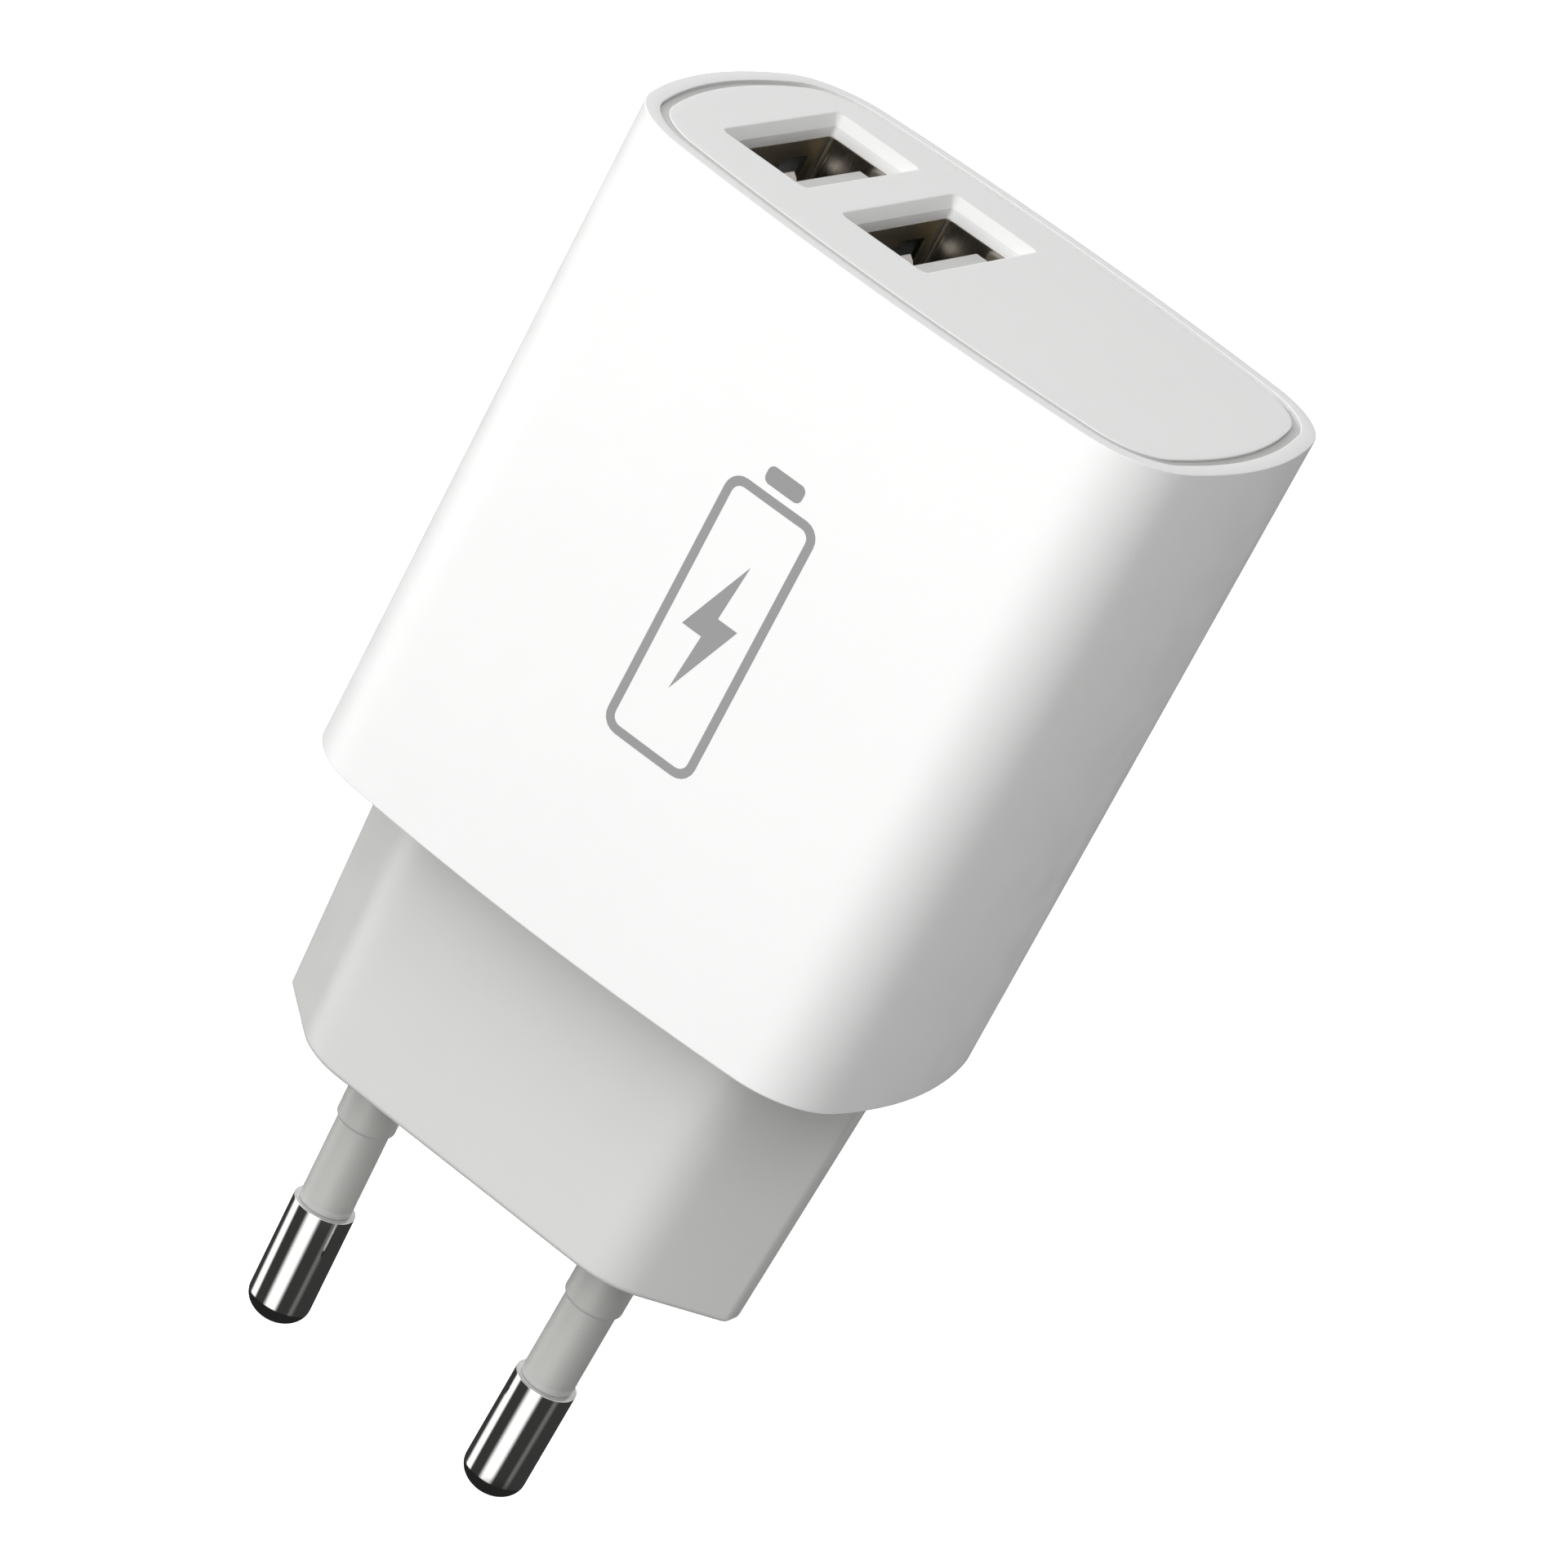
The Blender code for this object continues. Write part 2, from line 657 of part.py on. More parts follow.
def make_usb_insulator(letter, x, plastic):
    """The block at the foot of the shell and the tongue that stands in it."""
    base_x = MOUTH_HALF_X - GAP
    base_y = MOUTH_HALF_Y - GAP
    tongue_low = TONGUE_OFFSET_X - TONGUE_HALF_THICKNESS
    tongue_high = TONGUE_OFFSET_X + TONGUE_HALF_THICKNESS
    low = (-base_x, -base_y, SHELL_BOTTOM_Z)
    high = (base_x, base_y, INSULATOR_TOP_Z)
    block = new_bmesh((add_box, low, high))
    place = (x, PORT_Y, 0)
    insulator = make_object(f"usb_insulator_{letter}", block, plastic, location=place)
    low = (tongue_low, -TONGUE_HALF_WIDTH, INSULATOR_TOP_Z - OVERLAP)
    high = (tongue_high, TONGUE_HALF_WIDTH, TONGUE_TOP_Z)
    join(insulator, new_bmesh((add_box, low, high)))
    grooves = bmesh.new()
    slots = bmesh.new()
    floor_x = tongue_low + CONTACT_GROOVE_DEPTH
    for y in CONTACT_OFFSETS_Y:
        ends = (y - GROOVE_HALF_WIDTH, y + GROOVE_HALF_WIDTH)
        low = (tongue_low - PAST, ends[0], INSULATOR_TOP_Z - OVERLAP)
        add_box(grooves, low, (floor_x, ends[1], CONTACT_GROOVE_TOP_Z))
        low = (contact_root_x() - CONTACT_THICKNESS / 2 - GAP, ends[0], SHELL_BOTTOM_Z - PAST)
        add_box(slots, low, (floor_x, ends[1], INSULATOR_TOP_Z))
    cut(insulator, grooves)
    cut(insulator, slots)


def contact_root_x():
    """The middle of the spring strip at its root, from the port's own middle."""
    floor_x = TONGUE_OFFSET_X - TONGUE_HALF_THICKNESS + CONTACT_GROOVE_DEPTH
    return floor_x - GAP - CONTACT_THICKNESS / 2


def make_contact(label, x, offset, metal, port_holes):
    """One spring leaf, hinged at its root, and the fixed tail that it is soldered by."""
    root_x = contact_root_x()
    face_x = TONGUE_OFFSET_X - TONGUE_HALF_THICKNESS
    ends = (-CONTACT_HALF_WIDTH, CONTACT_HALF_WIDTH)
    crown_x = face_x - CONTACT_PROUD
    leaf = [
        (0, -GAP),
        (0, GAP),
        (crown_x - root_x, CONTACT_CROWN_Z - CONTACT_ROOT_Z),
        (face_x + CONTACT_TIP_INSET - root_x, CONTACT_TIP_Z - CONTACT_ROOT_Z),
    ]
    strip = new_bmesh((add_strip, leaf, CONTACT_THICKNESS, *ends))
    place = (x + root_x, PORT_Y + offset, CONTACT_ROOT_Z)
    make_object(f"contact_leaf_{label}", strip, metal, location=place)
    half = CONTACT_THICKNESS / 2
    low = (-half, ends[0], PORT_BOARD_Z - LEAD_STUB)
    high = (half, ends[1], CONTACT_ROOT_Z - 2 * GAP)
    place = (x + root_x, PORT_Y + offset, 0)
    make_object(f"contact_tail_{label}", new_bmesh((add_box, low, high)), metal, location=place)
    port_holes.append(
        (
            (place[0] - half - GAP, place[1] + ends[0] - GAP),
            (place[0] + half + GAP, place[1] + ends[1] + GAP),
        )
    )


# ---------------------------------------------------------------- components
#
# Each component is modelled in its own frame: Z points away from its board and zero is
# the bottom of its body. A board says where that frame goes and keeps a list of lead holes.


class Board:
    """A circuit board's component side or solder side, which components are placed on."""

    def __init__(self, place, rotation, lead_holes):
        self.place = place
        self.rotation = rotation
        self.lead_holes = lead_holes

    def put(self, name, bm, material, at, leads=()):
        """Places a component, joins its leads and notes the holes that they need."""
        location = self.place(*at)
        obj = make_object(name, bm, material, location=location, rotation=self.rotation)
        if leads:
            wires = bmesh.new()
            for path in leads:
                add_tube(wires, path, LEAD_RADIUS)
                self.lead_holes.append((at[0] + path[0][0], at[1] + path[0][1]))
            join(obj, wires)
        return obj


def straight_lead(x, y, height=OVERLAP):
    """A lead from inside the body, through the board, to a stub on its other side."""
    return [(x, y, -GAP - BOARD_THICKNESS - LEAD_STUB), (x, y, height)]


def bent_lead(x, y, body_x, body_y, height):
    """A lead that rises from the board and turns into the end of a lying body."""
    corner = LEAD_RADIUS * 3
    along = Vector((body_x - x, body_y - y)).normalized() * corner
    return [
        (x, y, -GAP - BOARD_THICKNESS - LEAD_STUB),
        (x, y, height - corner),
        (x + along.x * 0.3, y + along.y * 0.3, height - corner * 0.3),
        (x + along.x, y + along.y, height),
        (body_x, body_y, height),
    ]


def put_can_capacitor(board, name, material, at, radius, length, spacing):
    """An electrolytic can with its crimped waist near the leads."""
    crimp = radius * CAN_CRIMP
    waist_low, waist, waist_high = (length * share for share in CAN_WAIST)
    profile = [
        (radius - crimp, 0),
        (radius, crimp),
        (radius, waist_low),
        (radius - crimp, waist),
        (radius, waist_high),
        (radius, length - crimp),
        (radius - crimp, length),
    ]
    leads = [straight_lead(side * spacing / 2, 0) for side in (-1, 1)]
    board.put(name, new_bmesh((add_turned, profile)), material, at, leads)


def put_drum_choke(board, name, material, at, radius, length):
    """A coil standing on a drum core: two flanges with the sleeved winding between them."""
    waist = radius * 0.9
    flange = length * 0.12
    profile = [
        (radius, 0),
        (radius, flange),
        (waist, flange),
        (waist, length - flange),
        (radius, length - flange),
        (radius, length),
    ]
    leads = [straight_lead(side * radius * 0.6, 0) for side in (-1, 1)]
    board.put(name, new_bmesh((add_turned, profile)), material, at, leads)


def put_disc_capacitor(board, name, material, at, radius, thickness, spacing):
    """A dipped disc standing on edge, with its coating run a little way down the leads."""
    sides = 20
    centre_z = DISC_COAT + radius
    rings = []
    for radius_share, thickness_share in DISC_SECTIONS:
        section = circle(radius * radius_share, thickness * thickness_share, sides)
        rings.append([(x, y, z + centre_z) for y, z, x in section])
    leads = [
        straight_lead(0, side * spacing / 2, height=DISC_COAT + radius / 2) for side in (-1, 1)
    ]
    board.put(name, new_bmesh((add_loft, rings)), material, at, leads)


def put_axial_part(board, name, material, at, radius, length, spacing, upright):
    """A round body lying over the board with a bent lead at each end."""
    height = radius
    cap = radius * 0.15
    profile = [
        (radius - cap, -length / 2),
        (radius, -length / 2 + cap),
        (radius, length / 2 - cap),
        (radius - cap, length / 2),
    ]
    sides = 16
    rings = []
    for ring_radius, along in profile:
        points = []
        for x, y, _ in circle(ring_radius, 0, sides):
            points.append((x, along, y + height) if upright else (along, x, y + height))
        rings.append(points)
    leads = []
    for side in (-1, 1):
        foot = side * spacing / 2
        end = side * (length / 2 - OVERLAP)
        ends = (0, foot, 0, end) if upright else (foot, 0, end, 0)
        leads.append(bent_lead(*ends, height))
    board.put(name, new_bmesh((add_loft, rings)), material, at, leads)


def put_chip(board, name, material, at, size, legs_per_side, leg_reach=0.0010):
    """A moulded chip with flat legs bent down to the board along its two long sides."""
    half_x, half_y, height = size[0] / 2, size[1] / 2, size[2]
    low = (-half_x, -half_y, SHEET / 2)
    high = (half_x, half_y, height)
    bm = new_bmesh((add_soft_box, low, high, CHIP_EDGE))
    chip = board.put(name, bm, material, at)
    legs = bmesh.new()
    pitch = size[0] / legs_per_side
    leg_half = min(pitch * 0.18, 0.0006)
    knee = height * 0.45
    for side in (-1, 1):
        for i in range(legs_per_side):
            x = (i + 0.5) * pitch - half_x
            inner = half_y - OVERLAP
            path = [
                (inner, knee),
                (half_y + leg_reach * 0.4, knee),
                (half_y + leg_reach * 0.5, SHEET),
                (half_y + leg_reach, SHEET),
            ]
            rings = []
            outline = strip_outline(path, SHEET)
            for end in (x - leg_half, x + leg_half):
                rings.append([(end, side * p.x, p.y) for p in outline])
            add_loft(legs, rings)
    join(chip, legs)


def put_optocoupler(board, name, material, at, size, pitch):
    """A moulded block with two leads bent down at each side."""
    half_x, half_y, height = size[0] / 2, size[1] / 2, size[2]
    low = (-half_x, -half_y, SHEET)
    high = (half_x, half_y, height)
    foot = half_x + LEAD_STUB * 0.8
    leads = []
    for side in (-1, 1):
        for y in (-pitch / 2, pitch / 2):
            leads.append(bent_lead(side * foot, y, side * (half_x - OVERLAP), y, height / 2))
    board.put(name, new_bmesh((add_soft_box, low, high, CHIP_EDGE)), material, at, leads)


def make_transformer(board, at, ferrite, bobbin_plastic, winding_material):
    """A small E-core transformer: two core halves in a spool that carries the winding."""
    core_half_width = 0.0080
    core_half_depth = 0.0025
    core_height = 0.0072
    back = 0.0017
    outer_leg = 0.0020
    centre_leg_half = 0.0020
    axis_z = 0.0077
    flange_y = 0.0046
    flange_thickness = 0.0006
    spool_half = 0.0056
    tube_x = centre_leg_half + GAP + 0.0006
    tube_z = core_half_depth + GAP + 0.0006
    rail_height = 0.0030
    rail_half_width = 0.0075
    pin_columns = (-0.0057, -0.0019, 0.0019, 0.0057)
    pin_y = 0.0060

    for side, word in ((1, "upper"), (-1, "lower")):
        bm = bmesh.new()
        outline = [
            (core_half_width, core_height),
            (-core_half_width, core_height),
            (-core_half_width, GAP / 2),
            (-core_half_width + outer_leg, GAP / 2),
            (-core_half_width + outer_leg, core_height - back),
            (-centre_leg_half, core_height - back),
            (-centre_leg_half, GAP / 2),
            (centre_leg_half, GAP / 2),
            (centre_leg_half, core_height - back),
            (core_half_width - outer_leg, core_height - back),
            (core_half_width - outer_leg, GAP / 2),
            (core_half_width, GAP / 2),
        ]
        low_z = axis_z - core_half_depth
        high_z = axis_z + core_half_depth
        add_loft(bm, [[(x, side * y, z) for x, y in outline] for z in (low_z, high_z)])
        board.put(f"transformer_core_{word}", bm, ferrite, at)

    spool = new_bmesh(
        (
            add_box,
            (-tube_x, -flange_y - OVERLAP, axis_z - tube_z),
            (tube_x, flange_y + OVERLAP, axis_z + tube_z),
        )
    )
    leads = [straight_lead(x, side * pin_y) for side in (-1, 1) for x in pin_columns]
    bobbin = board.put("transformer_bobbin", spool, bobbin_plastic, at, leads)
    flanges = bmesh.new()
    rails = bmesh.new()
    for side in (-1, 1):
        near, far = sorted((side * flange_y, side * (flange_y + flange_thickness)))
        low = (-spool_half, near, axis_z - spool_half)
        high = (spool_half, far, axis_z + spool_half)
        add_box(flanges, low, high)
        near, far = sorted((side * (flange_y + 0.0001), side * core_height))
        add_box(rails, (-rail_half_width, near, 0), (rail_half_width, far, rail_height))
    join(bobbin, flanges)
    join(bobbin, rails)
    bore_x = centre_leg_half + GAP
    bore_z = core_half_depth + GAP
    low = (-bore_x, -core_height - PAST, axis_z - bore_z)
    high = (bore_x, core_height + PAST, axis_z + bore_z)
    cut(bobbin, new_bmesh((add_box, low, high)))

    outside = rounded_rectangle(spool_half - 0.0001, spool_half - 0.0001, 0.0018)
    inside = rounded_rectangle(tube_x + GAP, tube_z + GAP, 0.0003)
    rings = []
    for outline, y in ((outside, -1), (outside, 1), (inside, 1), (inside, -1)):
        rings.append([(x, y * (flange_y - GAP), z + axis_z) for x, z in outline])
    board.put("transformer_winding", new_bmesh((add_loft, rings, True)), winding_material, at)


# ---------------------------------------------------------------- boards


def hole_cutter(lead_holes, place):
    """Round clearance holes for the leads, as one tool."""
    bm = bmesh.new()
    for across, along in lead_holes:
        low = place(across, along, -PAST)
        high = place(across, along, BOARD_THICKNESS + PAST)
        add_tube(bm, [low, high], LEAD_RADIUS + GAP)
    return bm


def make_main_board(lead_holes, material):
    low = (-MAIN_BOARD_HALF_WIDTH, MAIN_BOARD_Y, MAIN_BOARD_BOTTOM_Z)
    high = (MAIN_BOARD_HALF_WIDTH, MAIN_BOARD_Y + BOARD_THICKNESS, MAIN_BOARD_TOP_Z)
    board = make_object("main_board", new_bmesh((add_box, low, high)), material)
    cut(board, hole_cutter(lead_holes, lambda x, z, depth: (x, MAIN_BOARD_Y + depth, z)))


def make_port_board(lead_holes, slots, material):
    top = PORT_BOARD_Z + BOARD_THICKNESS
    outline = housing_outline(PORT_BOARD_INSET)
    rings = [level(outline, PORT_BOARD_Z), level(outline, top)]
    board = make_object("port_board", new_bmesh((add_loft, rings)), material)
    cut(board, hole_cutter(lead_holes, lambda x, y, depth: (x, y, PORT_BOARD_Z + depth)))
    cutter = bmesh.new()
    for low, high in slots:
        add_box(cutter, (*low, PORT_BOARD_Z - PAST), (*high, top + PAST))
    cut(board, cutter)


def make_board_header(main_holes, port_holes, material):
    """A right-angled pin header that carries the port board on the main board."""
    bar_back = MAIN_BOARD_Y - GAP
    bar_front = bar_back - HEADER_BAR
    bar_top = PORT_BOARD_Z - GAP
    bar_bottom = bar_top - HEADER_BAR
    low = (HEADER_FIRST_X - HEADER_PITCH / 2, bar_front, bar_bottom)
    high = (HEADER_FIRST_X + (HEADER_COUNT - 0.5) * HEADER_PITCH, bar_back, bar_top)
    header = make_object("board_header", new_bmesh((add_box, low, high)), material)
    pins = bmesh.new()
    pin_y = bar_front + HEADER_PIN_INSET
    pin_z = bar_bottom + HEADER_PIN_INSET
    rise = PORT_BOARD_Z + BOARD_THICKNESS + LEAD_STUB
    back = MAIN_BOARD_Y + BOARD_THICKNESS + LEAD_STUB
    for i in range(HEADER_COUNT):
        x = HEADER_FIRST_X + i * HEADER_PITCH
        add_tube(pins, [(x, pin_y, bar_top - OVERLAP), (x, pin_y, rise)], LEAD_RADIUS)
        add_tube(pins, [(x, bar_back - OVERLAP, pin_z), (x, back, pin_z)], LEAD_RADIUS)
        port_holes.append((x, pin_y))
        main_holes.append((x, pin_z))
    join(header, pins)


# ---------------------------------------------------------------- assembly


def main():
    clear_scene()

    white = make_material("white_plastic", (0.86, 0.86, 0.85), 0.35)
    panel_white = make_material("panel_plastic", (0.78, 0.78, 0.77), 0.4)
    base_white = make_material("base_plastic", (0.82, 0.82, 0.81), 0.4)
    sleeve_grey = make_material("sleeve_plastic", (0.62, 0.62, 0.60), 0.45)
    nickel = make_material("nickel_plating", (0.80, 0.79, 0.77), 0.12, 1.0)
    steel = make_material("shell_steel", (0.62, 0.60, 0.57), 0.25, 1.0)
    gold = make_material("contact_gold", (0.83, 0.68, 0.36), 0.25, 1.0)
    tongue_plastic = make_material("tongue_plastic", (0.80, 0.80, 0.77), 0.45)
    board_green = make_material("board_laminate", (0.05, 0.23, 0.10), 0.45)
    wire_red = make_material("wire_insulation", (0.45, 0.06, 0.05), 0.5)
    can_black = make_material("can_film_black", (0.03, 0.03, 0.04), 0.35)
    can_green = make_material("can_film_green", (0.03, 0.12, 0.10), 0.35)
    black_epoxy = make_material("black_epoxy", (0.02, 0.02, 0.02), 0.5)
    ferrite = make_material("ferrite", (0.06, 0.06, 0.06), 0.55)
    bobbin_black = make_material("bobbin_plastic", (0.03, 0.03, 0.03), 0.5)
    tape_yellow = make_material("winding_tape", (0.72, 0.52, 0.08), 0.4)
    disc_blue = make_material("disc_coating", (0.05, 0.20, 0.45), 0.35)
    fuse_green = make_material("fuse_coating", (0.08, 0.28, 0.16), 0.5)
    choke_film = make_material("choke_film", (0.04, 0.04, 0.05), 0.35)
    header_black = make_material("header_plastic", (0.03, 0.03, 0.03), 0.5)

    make_housing(white)
    make_port_panel(panel_white)
    make_plug_base(base_white)
    make_pins(nickel, sleeve_grey, wire_red)

    port_slots = []
    for letter in PORT_X:
        make_usb_port(letter, steel, tongue_plastic, gold, port_slots)

    main_holes = []
    port_holes = []
    quarter_turn = math.pi / 2
    front = Board(
        lambda x, z: (x, MAIN_BOARD_Y - GAP, z), (quarter_turn, 0, 0), main_holes
    )
    back_face = MAIN_BOARD_Y + BOARD_THICKNESS + GAP
    back = Board(lambda x, z: (x, back_face, z), (-quarter_turn, 0, 0), main_holes)
    top_face = PORT_BOARD_Z + BOARD_THICKNESS + GAP
    top = Board(lambda x, y: (x, y, top_face), (0, 0, 0), port_holes)

    for word, z in (("upper", 0.0404), ("lower", 0.0319)):
        put_can_capacitor(
            front, f"input_capacitor_{word}", can_black, at=(-0.0122, z),
            radius=0.0040, length=0.0140, spacing=0.0035,
        )
    put_axial_part(
        front, "fuse_resistor", fuse_green, at=(-0.0115, 0.0255),
        radius=0.0018, length=0.0080, spacing=0.0100, upright=False,
    )
    put_drum_choke(
        front, "filter_choke", choke_film, at=(-0.0028, 0.0257),
        radius=0.0025, length=0.0080,
    )
    put_optocoupler(
        front, "optocoupler", black_epoxy, at=(0.0046, 0.0257),
        size=(0.0046, 0.0044, 0.0034), pitch=0.00254,
    )
    put_disc_capacitor(
        front, "safety_capacitor", disc_blue, at=(0.0134, 0.0267),
        radius=0.0035, thickness=0.0034, spacing=0.0050,
    )
    put_axial_part(
        front, "output_rectifier", black_epoxy, at=(0.0132, 0.0364),
        radius=0.0025, length=0.0085, spacing=0.0110, upright=True,
    )
    make_transformer(front, (0.0005, 0.0360), ferrite, bobbin_black, tape_yellow)

    put_chip(
        back, "bridge_rectifier", black_epoxy, at=(-0.0110, 0.0278),
        size=(0.0062, 0.0038, 0.0024), legs_per_side=2,
    )
    put_chip(
        back, "controller_chip", black_epoxy, at=(0.0005, 0.0360),
        size=(0.0049, 0.0039, 0.0015), legs_per_side=4,
    )
    put_chip(
        back, "snubber_diode", black_epoxy, at=(-0.0068, 0.0360),
        size=(0.0024, 0.0040, 0.0020), legs_per_side=1,
    )

    for word, y in (("front", -0.0046), ("back", 0.0046)):
        put_can_capacitor(
            top, f"output_capacitor_{word}", can_green, at=(0.0059, y),
            radius=0.0040, length=0.0115, spacing=0.0035,
        )
    put_drum_choke(
        top, "output_choke", choke_film, at=(0.0140, -0.0038),
        radius=0.0026, length=0.0080,
    )
    put_chip(
        top, "charge_chip", black_epoxy, at=(0.0136, 0.0076),
        size=(0.0030, 0.0017, 0.0011), legs_per_side=3,
    )

    make_board_header(main_holes, port_holes, header_black)
    make_main_board(main_holes, board_green)
    make_port_board(port_holes, port_slots, board_green)


main()
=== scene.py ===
"""Looks of a wall charger with two USB-A ports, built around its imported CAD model.

Lengths are millimetres until a mesh is made. +Z is up, the plain front face looks along -Y, and
the origin is the middle of the plug nose's end face.
"""

import math

import bmesh
import bpy
from mathutils import Matrix, Vector


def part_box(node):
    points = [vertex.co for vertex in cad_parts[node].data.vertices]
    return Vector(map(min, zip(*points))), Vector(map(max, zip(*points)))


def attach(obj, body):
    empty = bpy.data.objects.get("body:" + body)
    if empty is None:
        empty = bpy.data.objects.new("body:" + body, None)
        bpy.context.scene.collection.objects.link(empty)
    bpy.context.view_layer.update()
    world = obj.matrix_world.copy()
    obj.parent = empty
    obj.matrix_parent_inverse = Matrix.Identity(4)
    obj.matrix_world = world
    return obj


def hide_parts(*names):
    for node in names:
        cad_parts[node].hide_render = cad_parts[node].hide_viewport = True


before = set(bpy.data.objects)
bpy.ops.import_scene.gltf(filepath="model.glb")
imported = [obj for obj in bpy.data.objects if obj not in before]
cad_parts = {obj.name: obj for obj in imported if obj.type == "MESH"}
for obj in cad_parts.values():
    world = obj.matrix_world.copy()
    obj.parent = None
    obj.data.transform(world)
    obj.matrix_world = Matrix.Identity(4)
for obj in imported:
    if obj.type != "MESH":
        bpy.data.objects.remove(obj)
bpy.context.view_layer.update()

MM = 0.001


def node_box(name):
    """A CAD node's lowest and highest corner in millimetres."""
    low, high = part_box(name)
    return low / MM, high / MM


HOUSING_LOW, HOUSING_HIGH = node_box("housing")
HALF_WIDTH, HALF_DEPTH, TOP_Z = HOUSING_HIGH
SHOULDER_Z = HOUSING_LOW.z
PIN_TIP_Z = node_box("pin_left")[0].z

# Casing
FACE_BULGE = 1.7
END_BULGE = 2.8
CORNER_RADIUS = 5.7
WALL = 1.8
SHOULDER_REACH = 4.0  # from the outline in to the last oval before the window for the nose
RIM = 0.97
GROOVE = 0.55
GROOVE_DEPTH = 0.22
PANEL_SEAT_Z = 59.4
PANEL_UNDERSIDE_Z = 60.25
PANEL_GAP = 0.15  # between the panel's skirt and the housing
SKIRT_WALL = 1.0
SKIRT_BOTTOM_Z = 56.7
RAIL_REACH = 16.9  # half the clear width between the board rails
RAIL_THICKNESS = 1.1
SEAT_GAP = 0.3  # between a board or a flange and what holds it
CRISP = 0.06  # the radius of an edge that looks sharp

# Plug nose
NOSE_HALF_WIDTH = 17.28
NOSE_HALF_FLAT = 11.67
NOSE_HALF_DEPTH = 6.44
NOSE_END_HALF = 0.7
NOSE_END_RADIUS = 0.8
NOSE_CORNER_RADIUS = 5.5
NOSE_GROWTH = (0.05, 0.03)  # the share by which it widens along X and Y from its end to the shoulder
NOSE_GAP = 0.12  # between the nose and the housing's window
NOSE_WALL = 1.5
NOSE_FLOOR = 2.6
FLANGE = (16.5, 9.8, 3.0)  # half width, half depth and corner radius

# Pins
PIN_X = 9.21
PIN_TIP_X = 8.7
PIN_RADIUS = 2.0
PIN_MIDDLE_Z = -16.0  # of the bare part
PIN_BARE_TOP = -10.65
PIN_DOME = 1.49
PIN_NECK_RADIUS = 1.0
PIN_STOP_RADIUS = 1.7
PIN_END_Z = 6.5
SLEEVE_RADIUS = 1.69
SLEEVE_BORE = 1.05
SLEEVE_TOP_Z = 1.0
COLLAR_RADIUS = 1.9
COLLAR_Z = (-4.65, -4.42)  # where the sleeve starts to widen, and where it is full
COLLAR_GAP = 0.04
SEAT_DEPTH = 1.3  # of the round seat for a collar in the nose
PIN_BORE = 1.3
LIP_HEIGHT = 0.5

# Ports
PORT_X = {"a": -12.2, "b": -3.48}
PORT_Y = 0.7
MOUTH_X = 2.56
MOUTH_Y = 6.25
BEVEL_TOP = (3.06, 6.85)
BEVEL_Z = 61.65
SHELL_TOP = 60.98
SHELL_BOTTOM = 47.5
SHELL_WALL = 0.3
POCKET_GAP = 0.12  # between a shell and its pocket in the panel
SPRING_Y = 3.15  # the middles of the spring windows
WINDOW_HALF = 1.55
WINDOW_Z = (54.9, 59.8)
TAB_HALF = 0.8
TAB_THICKNESS = 0.22
TAB_CROWN_Z = 58.3
TAB_END_Z = 58.68
LEG_HALF = 0.8
LEG_BOTTOM = 44.6
BASE_HALF = (2.3, 6.0)
BASE_TOP = 50.0
TONGUE_X = (0.31, 2.15)
TONGUE_HALF_Y = 5.55
TONGUE_TOP = 60.5
CONTACT_Y = (-3.5, -1.0, 1.0, 3.5)
CONTACT_GROOVE = 0.95
CONTACT_GROOVE_HALF = 0.7
LEAF_HALF = 0.5
LEAF_THICKNESS = 0.2


# ---------------------------------------------------------------- outlines


def soften(corners, steps=5, closed=True):
    """A path of (x, y, radius) corners with each corner turned to its radius."""
    path = []
    count = len(corners)
    for i, (x, y, radius) in enumerate(corners):
        here = Vector((x, y))
        if radius == 0 or (not closed and i in (0, count - 1)):
            path.append((x, y))
            continue
        before = (Vector(corners[i - 1][:2]) - here).normalized()
        after = (Vector(corners[(i + 1) % count][:2]) - here).normalized()
        half = before.angle(after) / 2
        centre = here + (before + after).normalized() * radius / math.sin(half)
        start = here + before * radius / math.tan(half) - centre
        turn = math.pi - 2 * half
        if before.x * after.y - before.y * after.x > 0:
            turn = -turn
        for k in range(steps + 1):
            angle = math.atan2(start.y, start.x) + turn * k / steps
            path.append((centre.x + radius * math.cos(angle), centre.y + radius * math.sin(angle)))
    return path


def arc(centre, radius, start, end, steps):
    angles = [start + (end - start) * k / steps for k in range(steps)]
    return [(centre[0] + radius * math.cos(a), centre[1] + radius * math.sin(a)) for a in angles]


def oval(inset):
    """The housing's outline: bulged faces and ends that meet in round corners."""
    face_radius = (HALF_WIDTH**2 + FACE_BULGE**2) / (2 * FACE_BULGE)
    end_radius = (HALF_DEPTH**2 + END_BULGE**2) / (2 * END_BULGE)
    face = Vector((0, HALF_DEPTH - face_radius))
    end = Vector((HALF_WIDTH - end_radius, 0))
    reach_face = face_radius - CORNER_RADIUS
    reach_end = end_radius - CORNER_RADIUS
    between = end - face
    along = (reach_face**2 - reach_end**2 + between.length_squared) / (2 * between.length)
    aside = math.sqrt(reach_face**2 - along**2)
    unit = between.normalized()
    aside = Vector((-unit.y, unit.x)) * aside
    corner = max(face + unit * along + aside, face + unit * along - aside, key=lambda p: p.x + p.y)
    end_angle = math.atan2(corner.y - end.y, corner.x - end.x)
    face_angle = math.atan2(corner.y - face.y, corner.x - face.x)
    quarter = arc(end, end_radius - inset, 0, end_angle, 8)
    quarter += arc(corner, CORNER_RADIUS - inset, end_angle, face_angle, 16)
    quarter += arc(face, face_radius - inset, face_angle, math.pi / 2, 12)
    back = quarter[:0:-1]
    top = HALF_DEPTH - inset
    outline = quarter + [(0, top)] + [(-x, y) for x, y in back] + [(-x, -y) for x, y in quarter]
    return outline + [(0, -top)] + [(x, -y) for x, y in back]


